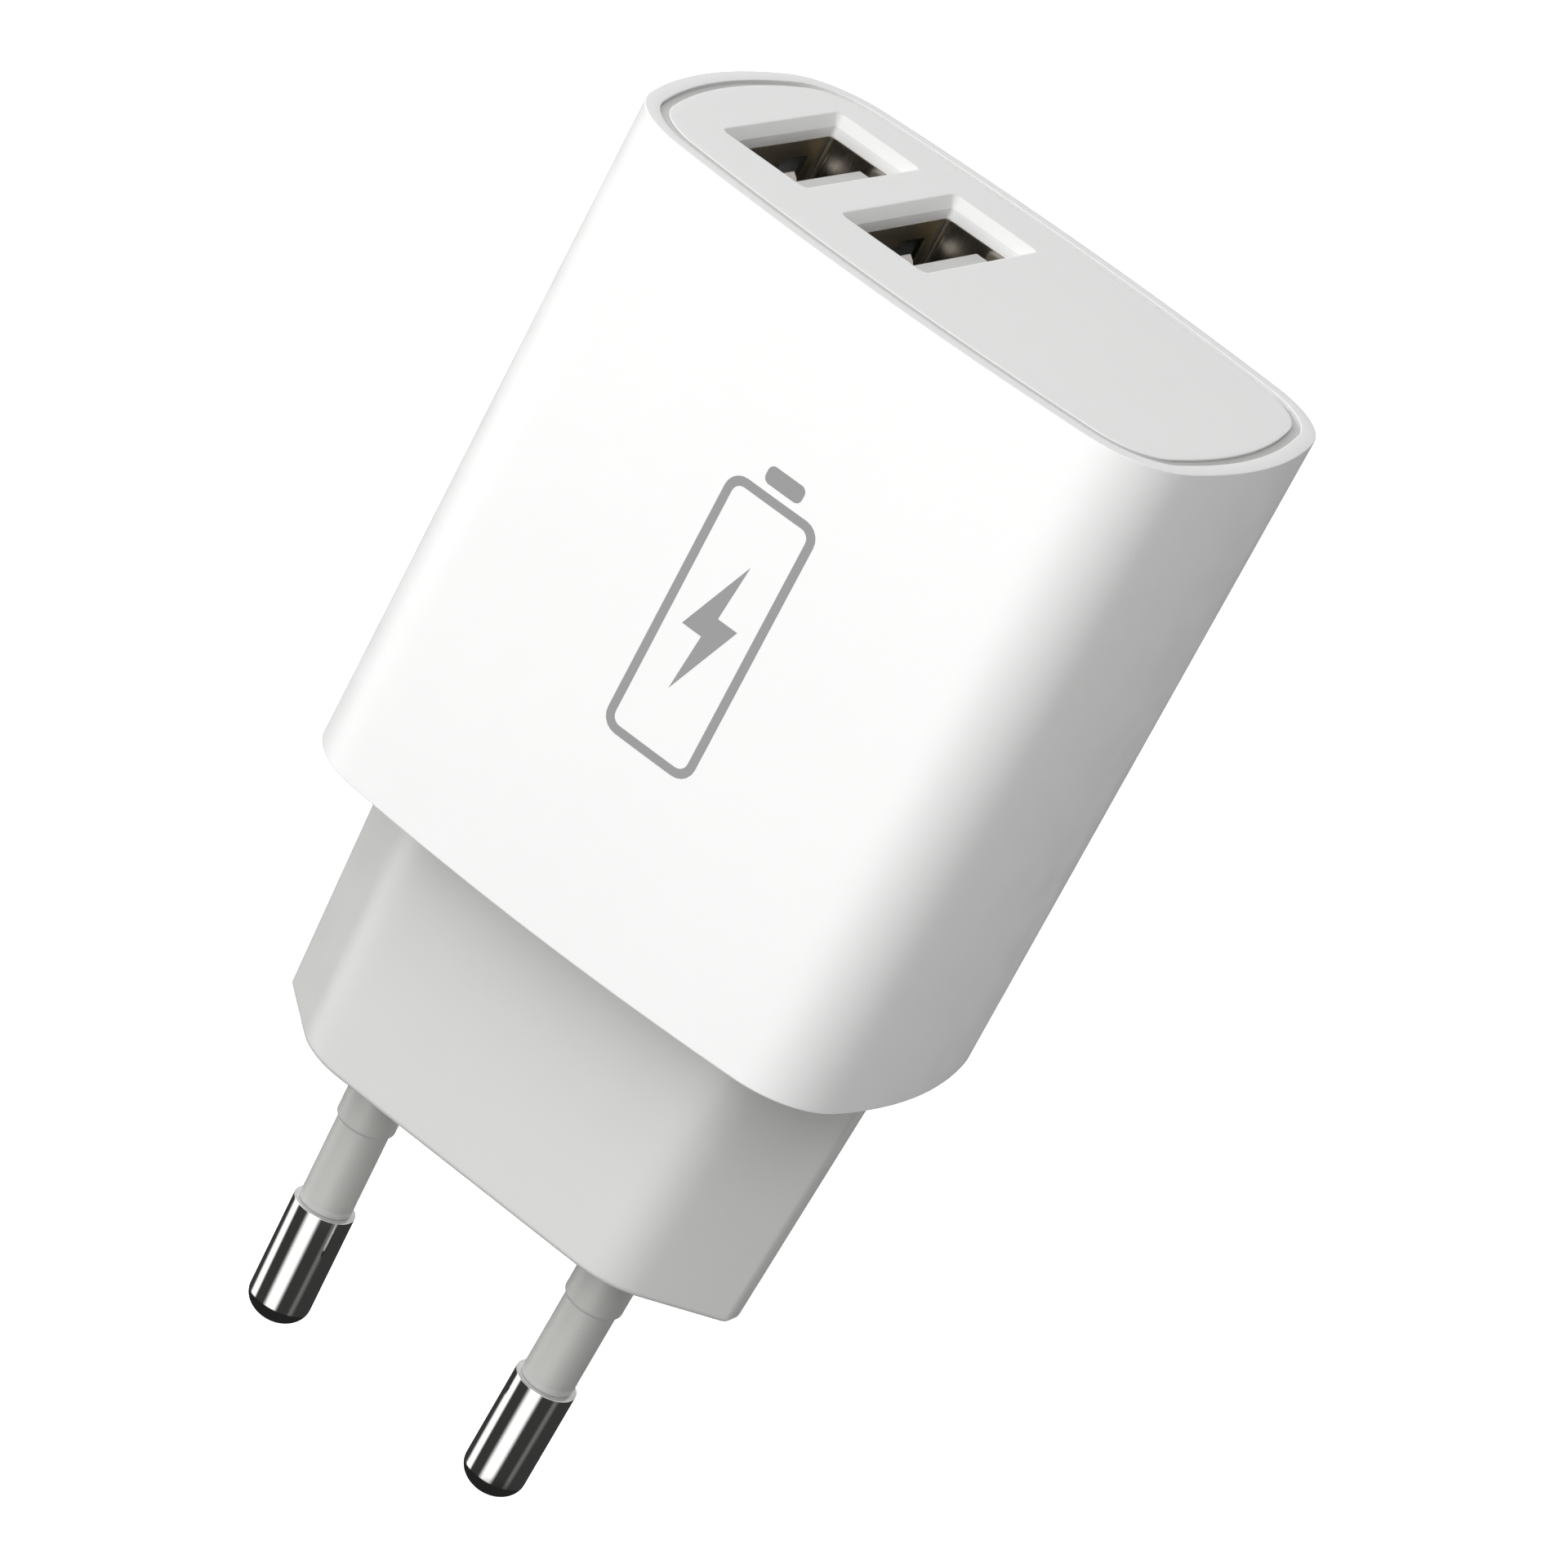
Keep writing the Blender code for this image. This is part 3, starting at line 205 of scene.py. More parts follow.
def nose(inset, z):
    """The nose's hexagon at a height. It widens evenly up to the shoulder."""
    slant = math.tan(math.pi / 8)
    width = NOSE_HALF_WIDTH - inset
    flat = NOSE_HALF_FLAT - inset * slant
    depth = NOSE_HALF_DEPTH - inset
    end = NOSE_END_HALF - inset * slant
    small = min(NOSE_END_RADIUS, end)
    large = NOSE_CORNER_RADIUS - inset
    quarter = [(width, end, small), (flat, depth, large)]
    corners = quarter + [(-x, y, r) for x, y, r in quarter[::-1]]
    corners += [(-x, -y, r) for x, y, r in corners]
    grow_x, grow_y = (1 + growth * z / SHOULDER_Z for growth in NOSE_GROWTH)
    return [(x * grow_x, y * grow_y) for x, y in soften(corners, 12)]


def box_outline(half_x, half_y, radius, steps=5):
    corners = [(half_x, -half_y), (half_x, half_y), (-half_x, half_y), (-half_x, -half_y)]
    return soften([(x, y, radius) for x, y in corners], steps)


def round_outline(radius, sides=64):
    return arc((0, 0), radius, 0, 2 * math.pi, sides)


def cast(outline, guide):
    """Where rays from the middle through the guide's points cross an outline."""
    crossings = []
    for gx, gy in guide:
        for i, (ax, ay) in enumerate(outline):
            bx, by = outline[(i + 1) % len(outline)]
            side_a = gx * ay - gy * ax
            side_b = gx * by - gy * bx
            if side_a <= 0 < side_b:
                share = side_a / (side_a - side_b)
                crossings.append((ax + (bx - ax) * share, ay + (by - ay) * share))
                break
    return crossings


def level(outline, z, at=(0, 0)):
    return [(x + at[0], y + at[1], z) for x, y in outline]


# ---------------------------------------------------------------- meshes


def skin(bm, rings, wrap=False):
    """Quads between rings of equal count. Returns the first and last ring's vertices."""
    loops = [[bm.verts.new(Vector(point) * MM) for point in ring] for ring in rings]
    for near, far in zip(loops, loops[1:] + loops[: 1 if wrap else 0]):
        for i in range(len(near)):
            j = (i + 1) % len(near)
            bm.faces.new((near[i], near[j], far[j], far[i])).smooth = True
    return loops[0], loops[-1]


def fill(bm, *loops):
    """A flat face inside the first loop, with the others as its holes."""
    edges = []
    for loop in loops:
        for i, vertex in enumerate(loop):
            other = loop[(i + 1) % len(loop)]
            edges.append(bm.edges.get((vertex, other)) or bm.edges.new((vertex, other)))
    bmesh.ops.triangle_fill(bm, edges=edges, use_beauty=True)


def solid(bm, rings):
    for loop in skin(bm, rings):
        bm.faces.new(loop)


def box(bm, low, high):
    corners = [(low[0], low[1]), (high[0], low[1]), (high[0], high[1]), (low[0], high[1])]
    solid(bm, [level(corners, low[2]), level(corners, high[2])])


def turned(bm, profile, sides=96, wrap=False):
    """A turned skin from (radius, height) pairs. A pair on the axis closes it with a point."""
    rings = [level(round_outline(radius, sides), z) for radius, z in profile]
    if wrap:
        skin(bm, rings, wrap=True)
    else:
        solid(bm, rings)


def new_object(name, bm):
    bmesh.ops.recalc_face_normals(bm, faces=bm.faces)
    mesh = bpy.data.meshes.new(name)
    bm.to_mesh(mesh)
    bm.free()
    obj = bpy.data.objects.new(name, mesh)
    bpy.context.scene.collection.objects.link(obj)
    return obj


def shape(obj, operation, bm):
    """Cuts a tool shape from a piece, or joins it on, and leaves only the result."""
    tool = new_object("tool", bm)
    tool.matrix_world = obj.matrix_world
    modifier = obj.modifiers.new("shape", "BOOLEAN")
    modifier.operation = operation
    modifier.solver = "EXACT"
    modifier.object = tool
    bpy.context.view_layer.update()
    result = obj.evaluated_get(bpy.context.evaluated_depsgraph_get())
    mesh = bpy.data.meshes.new_from_object(result)
    obj.modifiers.clear()
    obj.data = mesh
    bpy.data.objects.remove(tool)


def show(obj, material, slot, *nodes, body="charger", angle=32, edge=0):
    """Finishes a piece: its rounded edges, shading, material and the CAD nodes that it stands for."""
    if edge:
        bevel = obj.modifiers.new("edges", "BEVEL")
        bevel.width = edge * MM
        bevel.segments = 3
        bevel.limit_method = "ANGLE"
        bevel.angle_limit = math.radians(angle)
    obj.data.set_sharp_from_angle(angle=math.radians(angle))
    obj.data.materials.append(material)
    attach(obj, body)
    if nodes:
        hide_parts(*nodes)
    return obj


# ---------------------------------------------------------------- materials


class Surface:
    """A Principled material whose colour, gloss and relief vary over the piece."""

    def __init__(self, name, roughness, metallic=0.0):
        self.material = bpy.data.materials.new(name)
        self.material.use_nodes = True
        self.nodes = self.material.node_tree.nodes
        self.links = self.material.node_tree.links
        self.shader = self.nodes["Principled BSDF"]
        self.shader.inputs["Roughness"].default_value = roughness
        self.shader.inputs["Metallic"].default_value = metallic
        self.place = self.nodes.new("ShaderNodeTexCoord").outputs["Object"]
        self.relief = None

    def noise(self, grain, detail=3.0, distortion=0.0):
        """Noise whose features measure the given millimetres along each axis."""
        mapping = self.nodes.new("ShaderNodeMapping")
        mapping.inputs["Scale"].default_value = [1 / (size * MM) for size in grain]
        texture = self.nodes.new("ShaderNodeTexNoise")
        texture.inputs["Scale"].default_value = 1.0
        texture.inputs["Detail"].default_value = detail
        texture.inputs["Distortion"].default_value = distortion
        self.links.new(self.place, mapping.inputs["Vector"])
        self.links.new(mapping.outputs["Vector"], texture.inputs["Vector"])
        return texture.outputs["Fac"]

    def band(self, axis, low, high):
        """1 between two heights along an axis and 0 elsewhere."""
        parts = self.nodes.new("ShaderNodeSeparateXYZ")
        self.links.new(self.place, parts.inputs["Vector"])
        above = self.maths("GREATER_THAN", parts.outputs[axis], low * MM)
        below = self.maths("LESS_THAN", parts.outputs[axis], high * MM)
        return self.maths("MULTIPLY", above, below)

    def lines(self, axis, pitch, width):
        """Evenly spaced lines across an axis, 1 on a line."""
        parts = self.nodes.new("ShaderNodeSeparateXYZ")
        self.links.new(self.place, parts.inputs["Vector"])
        steps = self.maths("MULTIPLY", parts.outputs[axis], 1 / (pitch * MM))
        return self.maths("LESS_THAN", self.maths("FRACT", steps), width / pitch)

    def maths(self, operation, first, second=0.0):
        node = self.nodes.new("ShaderNodeMath")
        node.operation = operation
        for socket, value in zip(node.inputs, (first, second)):
            if isinstance(value, (int, float)):
                socket.default_value = value
            else:
                self.links.new(value, socket)
        return node.outputs[0]

    def ramp(self, value, low, high, start=0.3, end=0.7):
        """A value spread from low to high, softly between two points of its range."""
        node = self.nodes.new("ShaderNodeMapRange")
        node.interpolation_type = "SMOOTHSTEP"
        self.links.new(value, node.inputs["Value"])
        for name, number in (("From Min", start), ("From Max", end), ("To Min", low), ("To Max", high)):
            node.inputs[name].default_value = number
        return node.outputs["Result"]

    def tint(self, first, second, value):
        """The base colour, mixed between two by a value. Calls add up: first may be None."""
        node = self.nodes.new("ShaderNodeMix")
        node.data_type = "RGBA"
        self.links.new(value, node.inputs["Factor"])
        base = self.shader.inputs["Base Color"]
        if first is None:
            self.links.new(base.links[0].from_socket, node.inputs["A"])
        else:
            node.inputs["A"].default_value = (*first, 1)
        node.inputs["B"].default_value = (*second, 1)
        self.links.new(node.outputs["Result"], base)
        return self

    def gloss(self, value):
        self.links.new(value, self.shader.inputs["Roughness"])
        return self

    def bump(self, value, height):
        """Relief of a real height in millimetres."""
        node = self.nodes.new("ShaderNodeBump")
        node.inputs["Distance"].default_value = height * MM
        self.links.new(value, node.inputs["Height"])
        if self.relief:
            self.links.new(self.relief, node.inputs["Normal"])
        self.relief = node.outputs["Normal"]
        self.links.new(self.relief, self.shader.inputs["Normal"])
        return self


def shade(colour, share):
    return tuple(channel * share for channel in colour)


def moulded(name, colour, roughness, grain=0.16, height=0.003, tone=0.985):
    """A moulded plastic: a fine eroded grain, faint flow clouds and uneven gloss."""
    surface = Surface(name, roughness)
    surface.tint(colour, shade(colour, tone), surface.noise((9, 9, 14), 2.0, 0.4))
    surface.gloss(surface.ramp(surface.noise((2.5,) * 3), roughness - 0.03, roughness + 0.04))
    surface.bump(surface.noise((grain,) * 3, 4.0), height)
    return surface.material


def drawn_metal(name, colour, roughness, along, height=0.0008, tone=0.9):
    """A metal with fine lines along the direction that it was drawn, rolled or polished in."""
    surface = Surface(name, roughness, metallic=1.0)
    grain = [12.0 if axis == along else 0.12 for axis in "XYZ"]
    lines = surface.noise(grain, 4.0)
    surface.tint(colour, shade(colour, tone), surface.noise((3.0,) * 3))
    surface.gloss(surface.ramp(lines, roughness * 0.9, roughness * 1.15))
    surface.bump(lines, height)
    return surface.material


def dipped(name, colour, roughness=0.3, lumps=1.6, height=0.03):
    """A coating that was dipped or cast: lumpy, glossy, with dust in it."""
    surface = Surface(name, roughness)
    surface.tint(colour, shade(colour, 0.8), surface.noise((lumps,) * 3))
    surface.gloss(surface.ramp(surface.noise((0.8,) * 3), roughness, roughness + 0.15))
    surface.bump(surface.noise((lumps,) * 3, 2.0), height)
    surface.bump(surface.noise((0.1,) * 3), 0.002)
    return surface.material


def film_can(name, node, colour, axis, stripe_axis, marking):
    """A can in a printed film with a polarity stripe, and a bare aluminium end."""
    low, high = node_box(node)
    surface = Surface(name, 0.3)
    surface.tint(colour, shade(colour, 0.85), surface.noise((1.5,) * 3))
    stripe_low = low["XYZ".index(stripe_axis)]
    surface.tint(None, marking, surface.band(stripe_axis, stripe_low - 1, stripe_low + 0.5))
    index = "XYZ".index(axis)
    end = (low[index] - 1, low[index] + 0.12) if axis == "Y" else (high[index] - 0.12, high[index] + 1)
    surface.tint(None, (0.75, 0.75, 0.74), surface.band(axis, *end))
    surface.bump(surface.noise((0.4,) * 3), 0.004)
    return surface.material


def laminate(name, colour, track):
    """A board in solder resist, with tracks that show through and woven glass under it."""
    surface = Surface(name, 0.4)
    surface.tint(colour, shade(colour, 0.75), surface.noise((0.5,) * 3))
    tracks = surface.ramp(surface.noise((1.8, 1.8, 1.8), 0.0), 0.0, 1.0, 0.50, 0.53)
    surface.tint(None, track, tracks)
    surface.bump(tracks, 0.03)
    surface.bump(surface.lines("X", 0.6, 0.3), 0.004)
    return surface.material


def taped(name, colour):
    """Windings wrapped in tape, whose turns overlap."""
    surface = Surface(name, 0.35)
    edges = surface.lines("Y", 2.2, 0.25)
    surface.tint(colour, shade(colour, 0.7), surface.noise((0.7, 6, 6)))
    surface.tint(None, shade(colour, 0.55), edges)
    surface.bump(edges, 0.04)
    return surface.material


def banded(name, colour, axis, bands):
    """A dipped or cast body with printed rings: (low, high, colour) along an axis."""
    surface = Surface(name, 0.4)
    surface.tint(colour, shade(colour, 0.8), surface.noise((0.9,) * 3))
    for low, high, ring in bands:
        surface.tint(None, ring, surface.band(axis, low, high))
    surface.bump(surface.noise((0.3,) * 3), 0.008)
    return surface.material


WHITE = moulded("housing_white", (0.87, 0.87, 0.865), 0.36, grain=0.12, height=0.0015)
# Painted shade: a white darker than the housing's, on the panel and the rim's flat top, so the top reads
# less lit than the front
TOP_SHADE_WHITE = moulded("top_white_painted_shade", (0.82, 0.82, 0.815), 0.45, grain=0.14, height=0.003)
# Painted shade: a dark grey for the walls and floor of the narrow groove round the panel, where shade
# falls
GROOVE_SHADE_GREY = moulded("groove_painted_shade", (0.52, 0.52, 0.515), 0.55, grain=0.14, height=0.004)
# Painted shade: a grey for the housing's rim where its inner wall drops into the groove
RIM_WALL_SHADE_GREY = moulded("rim_wall_painted_shade", (0.74, 0.74, 0.735), 0.55, grain=0.14, height=0.004)
BASE_WHITE = moulded("base_white", (0.64, 0.64, 0.625), 0.33, grain=0.18, height=0.003)
SLEEVE_GREY = moulded("sleeve_grey", (0.47, 0.47, 0.455), 0.36, grain=0.14, height=0.001)
CLEAR_LIP = moulded("clear_lip", (0.8, 0.8, 0.8), 0.3, grain=0.3, height=0.002)
CLEAR_LIP.node_tree.nodes["Principled BSDF"].inputs["Alpha"].default_value = 0.2
NICKEL = drawn_metal("bright_nickel", (0.80, 0.79, 0.77), 0.07, "Z", height=0.0002, tone=0.97)
STEEL = drawn_metal("port_steel", (0.62, 0.585, 0.52), 0.2, "Z", height=0.00003)
# Painted highlight: a pale warm colour that stands for the bright light mirrored by the tabs' upturned
# metal ends
TAB_END_HIGHLIGHT = moulded("tab_end_painted_highlight", (0.93, 0.86, 0.84), 0.4, grain=0.1, height=0.004, tone=0.9)
GOLD = drawn_metal("contact_gold", (0.83, 0.66, 0.34), 0.22, "Z")
TONGUE_WHITE = moulded("tongue_white", (0.60, 0.60, 0.59), 0.5, grain=0.2, height=0.004)
PRINT_GREY = moulded("print_grey", (0.30, 0.30, 0.30), 0.5, grain=0.08, height=0.002, tone=0.93)


# ---------------------------------------------------------------- casing


def make_housing():
    guide = oval(0)
    low_window = cast(nose(-NOSE_GAP, SHOULDER_Z), guide)
    high_window = cast(nose(-NOSE_GAP, SHOULDER_Z + WALL), guide)
    profile = soften(
        [
            (SHOULDER_REACH, SHOULDER_Z, 0),
            (0, SHOULDER_Z, 0.15),
            (0, TOP_Z, CRISP),
            (RIM, TOP_Z, CRISP),
            (RIM, PANEL_SEAT_Z, 0.05),
            (WALL, PANEL_SEAT_Z, CRISP),
            (WALL, SHOULDER_Z + WALL, 0.3),
            (SHOULDER_REACH, SHOULDER_Z + WALL, 0),
        ],
        closed=False,
    )
    rings = [level(low_window, SHOULDER_Z)]
    rings += [level(oval(inset), z) for inset, z in profile]
    rings += [level(high_window, SHOULDER_Z + WALL)]
    bm = bmesh.new()
    skin(bm, rings, wrap=True)
    bm.faces.ensure_lookup_table()
    # Material 1 is the rim's flat top, in the top's darker white that paints the top's shade, and 2 is
    # its inner wall, in a grey that paints the shade in the groove
    for band, ((inset, z), (_, next_z)) in enumerate(zip(profile, profile[1:]), 1):
        flat_rim = min(z, next_z) > TOP_Z - 0.0001
        inner_wall = abs(inset - RIM) < 0.01 and next_z < TOP_Z - CRISP
        for face in bm.faces[band * len(guide) : (band + 1) * len(guide)]:
            face.material_index = 1 if flat_rim else 2 if inner_wall else 0
    board_low, board_high = node_box("main_board")
    for side in (-1, 1):
        near, far = sorted((side * RAIL_REACH, side * (HALF_WIDTH - 1.5)))
        for y in (board_low.y - SEAT_GAP - RAIL_THICKNESS, board_high.y + SEAT_GAP):
            box(bm, (near, y, board_low.z + 0.6), (far, y + RAIL_THICKNESS, board_high.z + 0.4))
    housing = show(new_object("housing_sleeve", bm), WHITE, "housing_plastic", "housing")
    housing.data.materials.append(TOP_SHADE_WHITE)
    housing.data.materials.append(RIM_WALL_SHADE_GREY)


def make_panel():
    step = RIM + GROOVE
    groove_z = TOP_Z - GROOVE_DEPTH
    skirt = WALL + PANEL_GAP
    outside = soften(
        [
            (step + 0.3, TOP_Z, 0),
            (step, TOP_Z, CRISP),
            (step, groove_z, CRISP),
            (RIM + 0.02, groove_z, 0),
            (RIM + 0.02, PANEL_SEAT_Z + 0.05, 0),
            (skirt, PANEL_SEAT_Z + 0.05, 0),
            (skirt, SKIRT_BOTTOM_Z, 0.15),
            (skirt + SKIRT_WALL, SKIRT_BOTTOM_Z, 0.15),
            (skirt + SKIRT_WALL, PANEL_UNDERSIDE_Z, 0.3),
            (skirt + SKIRT_WALL + 0.6, PANEL_UNDERSIDE_Z, 0),
        ],
        closed=False,
    )
    bm = bmesh.new()
    top, underside = skin(bm, [level(oval(inset), z) for inset, z in outside])
    # Material 1 paints the groove's shade: the panel's faces down in the groove take the dark grey
    for face in bm.faces:
        face.material_index = groove_z - 0.01 < face.calc_center_median().z / MM < TOP_Z - CRISP
    mouths = []
    pockets = []
    for x in PORT_X.values():
        bevel_x, bevel_y = BEVEL_TOP
        sections = [(bevel_x + 0.14, bevel_y + 0.14, 0.6, TOP_Z)]  # a flat border, so the face stays flat
        sections += [(bevel_x + 0.04, bevel_y + 0.04, 0.5, TOP_Z)]
        sections += [(bevel_x + 0.005, bevel_y + 0.005, 0.47, TOP_Z - 0.015)]
        sections += [(bevel_x - 0.03, bevel_y - 0.035, 0.44, TOP_Z - 0.05)]
        sections += [(MOUTH_X + 0.02, MOUTH_Y + 0.02, 0.3, BEVEL_Z + 0.03)]
        sections += [(MOUTH_X, MOUTH_Y, 0.28, BEVEL_Z - 0.02)]
        sections += [(MOUTH_X, MOUTH_Y, 0.28, SHELL_TOP + 0.02)]
        pocket = (MOUTH_X + SHELL_WALL + POCKET_GAP, MOUTH_Y + SHELL_WALL + POCKET_GAP, 0.5)
        sections += [(*pocket, SHELL_TOP + 0.02), (*pocket, PANEL_UNDERSIDE_Z)]
        rings = [
            level(box_outline(half_x, half_y, radius, 6), z, (x, PORT_Y))
            for half_x, half_y, radius, z in sections
        ]
        mouth, pocket_ring = skin(bm, rings)
        mouths.append(mouth)
        pockets.append(pocket_ring)
    fill(bm, top, *mouths)
    fill(bm, underside, *pockets)
    # The panel's face takes the top's darker white, which is painted shade
    panel = show(new_object("port_panel_face", bm), TOP_SHADE_WHITE, "panel_plastic", "port_panel")
    panel.data.materials.append(GROOVE_SHADE_GREY)


def pin_matrix(side):
    tilt = math.atan2(PIN_X - PIN_TIP_X, -PIN_TIP_Z)
    return Matrix.Translation((side * PIN_X * MM, 0, 0)) @ Matrix.Rotation(side * tilt, 4, "Y")


def make_nose():
    flange_z = SHOULDER_Z + WALL + SEAT_GAP
    top_z = node_box("plug_base")[1].z
    profile = soften([(1.4, 0, 0), (0, 0, 0.45), (0, flange_z, 0)], 6, closed=False)
    rings = [level(nose(inset, z), z) for inset, z in profile]
    guide = nose(0, 0)
    flange = cast(box_outline(*FLANGE, 8), guide)
    rings += [level(flange, flange_z), level(flange, top_z)]
    rings += [level(nose(NOSE_WALL, z), z) for z in (top_z, NOSE_FLOOR)]
    bm = bmesh.new()
    end_face, floor = skin(bm, rings)
    holes = []
    seats = []
    seat = COLLAR_RADIUS + COLLAR_GAP
    for side in (-1, 1):
        drift = side * (PIN_X - PIN_TIP_X) / -PIN_TIP_Z
        sections = [(seat + 0.05, 0), (seat, 0.05), (seat, SEAT_DEPTH)]
        sections += [(PIN_BORE, SEAT_DEPTH), (PIN_BORE, NOSE_FLOOR)]
        bore = [
            level(round_outline(radius, 48), z, (side * PIN_X + drift * z, 0))
            for radius, z in sections
        ]
        hole, inner = skin(bm, bore)
        holes.append(hole)
        seats.append(inner)
    fill(bm, end_face, *holes)
    fill(bm, floor, *seats)
    show(new_object("plug_nose", bm), BASE_WHITE, "base_plastic", "plug_base")


def make_pins():
    dome = []
    for k in range(1, 13):
        angle = math.pi / 2 * k / 12
        dome.append((PIN_RADIUS * math.sin(angle), PIN_TIP_Z + PIN_DOME * (1 - math.cos(angle))))
    metal = [(0.05, PIN_TIP_Z)] + dome
    metal += soften(
        [
            (PIN_RADIUS, PIN_MIDDLE_Z, 0),
            (PIN_RADIUS, PIN_BARE_TOP, 0.05),
            (PIN_NECK_RADIUS, PIN_BARE_TOP, 0),
            (PIN_NECK_RADIUS, NOSE_FLOOR + 0.3, 0),
            (PIN_STOP_RADIUS, NOSE_FLOOR + 0.3, 0.1),
            (PIN_STOP_RADIUS, NOSE_FLOOR + 1.3, 0.1),
            (PIN_NECK_RADIUS, NOSE_FLOOR + 1.3, 0),
            (PIN_NECK_RADIUS, PIN_END_Z, 0.2),
            (0.4, PIN_END_Z, 0),
        ],
        4,
        closed=False,
    )
    foot = PIN_BARE_TOP + 0.02
    sleeve = soften(
        [
            (SLEEVE_BORE, foot, 0),
            (SLEEVE_RADIUS, foot, 0.1),
            (SLEEVE_RADIUS, COLLAR_Z[0], 0.05),
            (COLLAR_RADIUS, COLLAR_Z[1], 0.2),
            (COLLAR_RADIUS, SLEEVE_TOP_Z, 0.1),
            (SLEEVE_BORE, SLEEVE_TOP_Z, 0),
        ],
        5,
    )
    lip = soften(
        [
            (SLEEVE_RADIUS - 0.05, foot, 0),
            (PIN_RADIUS - 0.02, foot, 0.04),
            (PIN_RADIUS - 0.02, foot + LIP_HEIGHT - 0.1, 0.26),
            (SLEEVE_RADIUS - 0.05, foot + LIP_HEIGHT, 0),
        ],
        5,
    )
    for side, word in ((-1, "left"), (1, "right")):
        bm = bmesh.new()
        turned(bm, metal)
        pin = new_object(f"bright_pin_{word}", bm)
        pin.matrix_world = pin_matrix(side)
        show(pin, NICKEL, "pin_nickel", f"pin_{word}")
        bm = bmesh.new()
        turned(bm, lip, wrap=True)
        for face in bm.faces:
            face.material_index = 1
        turned(bm, sleeve, wrap=True)
        tube = new_object(f"pin_jacket_{word}", bm)
        tube.matrix_world = pin_matrix(side)
        show(tube, SLEEVE_GREY, "sleeve_plastic", f"pin_sleeve_{word}")
        tube.data.materials.append(CLEAR_LIP)


def make_print():
    """A battery with a bolt in it, printed on the front face along its height."""
    face_radius = (HALF_WIDTH**2 + FACE_BULGE**2) / (2 * FACE_BULGE)
    middle_x = 0.9
    middle_z = 40.4
    thickness = 0.012
    longest = 0.4  # the longest straight step of an outline, so that the print can bend with the face
    shapes = [
        [box_outline(3.2, 8.6, 1.1), box_outline(2.65, 8.05, 0.6)],
        [[(x, y + 9.6) for x, y in box_outline(1.3, 0.55, 0.4)]],
        [[(0.5, 4.4), (-1.6, -0.7), (-0.2, -0.7), (-0.5, -4.4), (1.6, 0.75), (0.2, 0.75)]],
    ]
    bm = bmesh.new()
    for loops in shapes:
        sides = []
        for lift in (0.0, thickness):
            made = []
            for loop in loops:
                dense = []
                for i, (ax, az) in enumerate(loop):
                    bx, bz = loop[(i + 1) % len(loop)]
                    parts = max(1, round(math.hypot(bx - ax, bz - az) / longest))
                    shares = [k / parts for k in range(parts)]
                    dense += [(ax + (bx - ax) * share, az + (bz - az) * share) for share in shares]
                points = [Vector((x + middle_x, -lift, z + middle_z)) * MM for x, z in dense]
                made.append([bm.verts.new(point) for point in points])
            fill(bm, *made)
            sides.append(made)
        for near, far in zip(*sides):
            for i in range(len(near)):
                j = (i + 1) % len(near)
                bm.faces.new((near[i], near[j], far[j], far[i]))
    for vertex in bm.verts:
        bulge = math.sqrt((face_radius * MM) ** 2 - vertex.co.x**2)
        vertex.co.y -= (HALF_DEPTH - face_radius) * MM + bulge
    show(new_object("charge_symbol", bm), PRINT_GREY, "housing_plastic")


# ---------------------------------------------------------------- ports


def strip(bm, path, thickness, low_y, high_y):
    """A bent strip: an (x, z) path with a thickness, drawn out along Y."""
    near = []
    far = []
    for i, point in enumerate(path):
        ahead = Vector(path[min(i + 1, len(path) - 1)]) - Vector(path[max(i - 1, 0)])
        across = Vector((-ahead.y, ahead.x)).normalized() * thickness / 2
        near.append(Vector(point) + across)
        far.append(Vector(point) - across)
    outline = near + far[::-1]
    solid(bm, [[(p.x, y, p.y) for p in outline] for y in (low_y, high_y)])


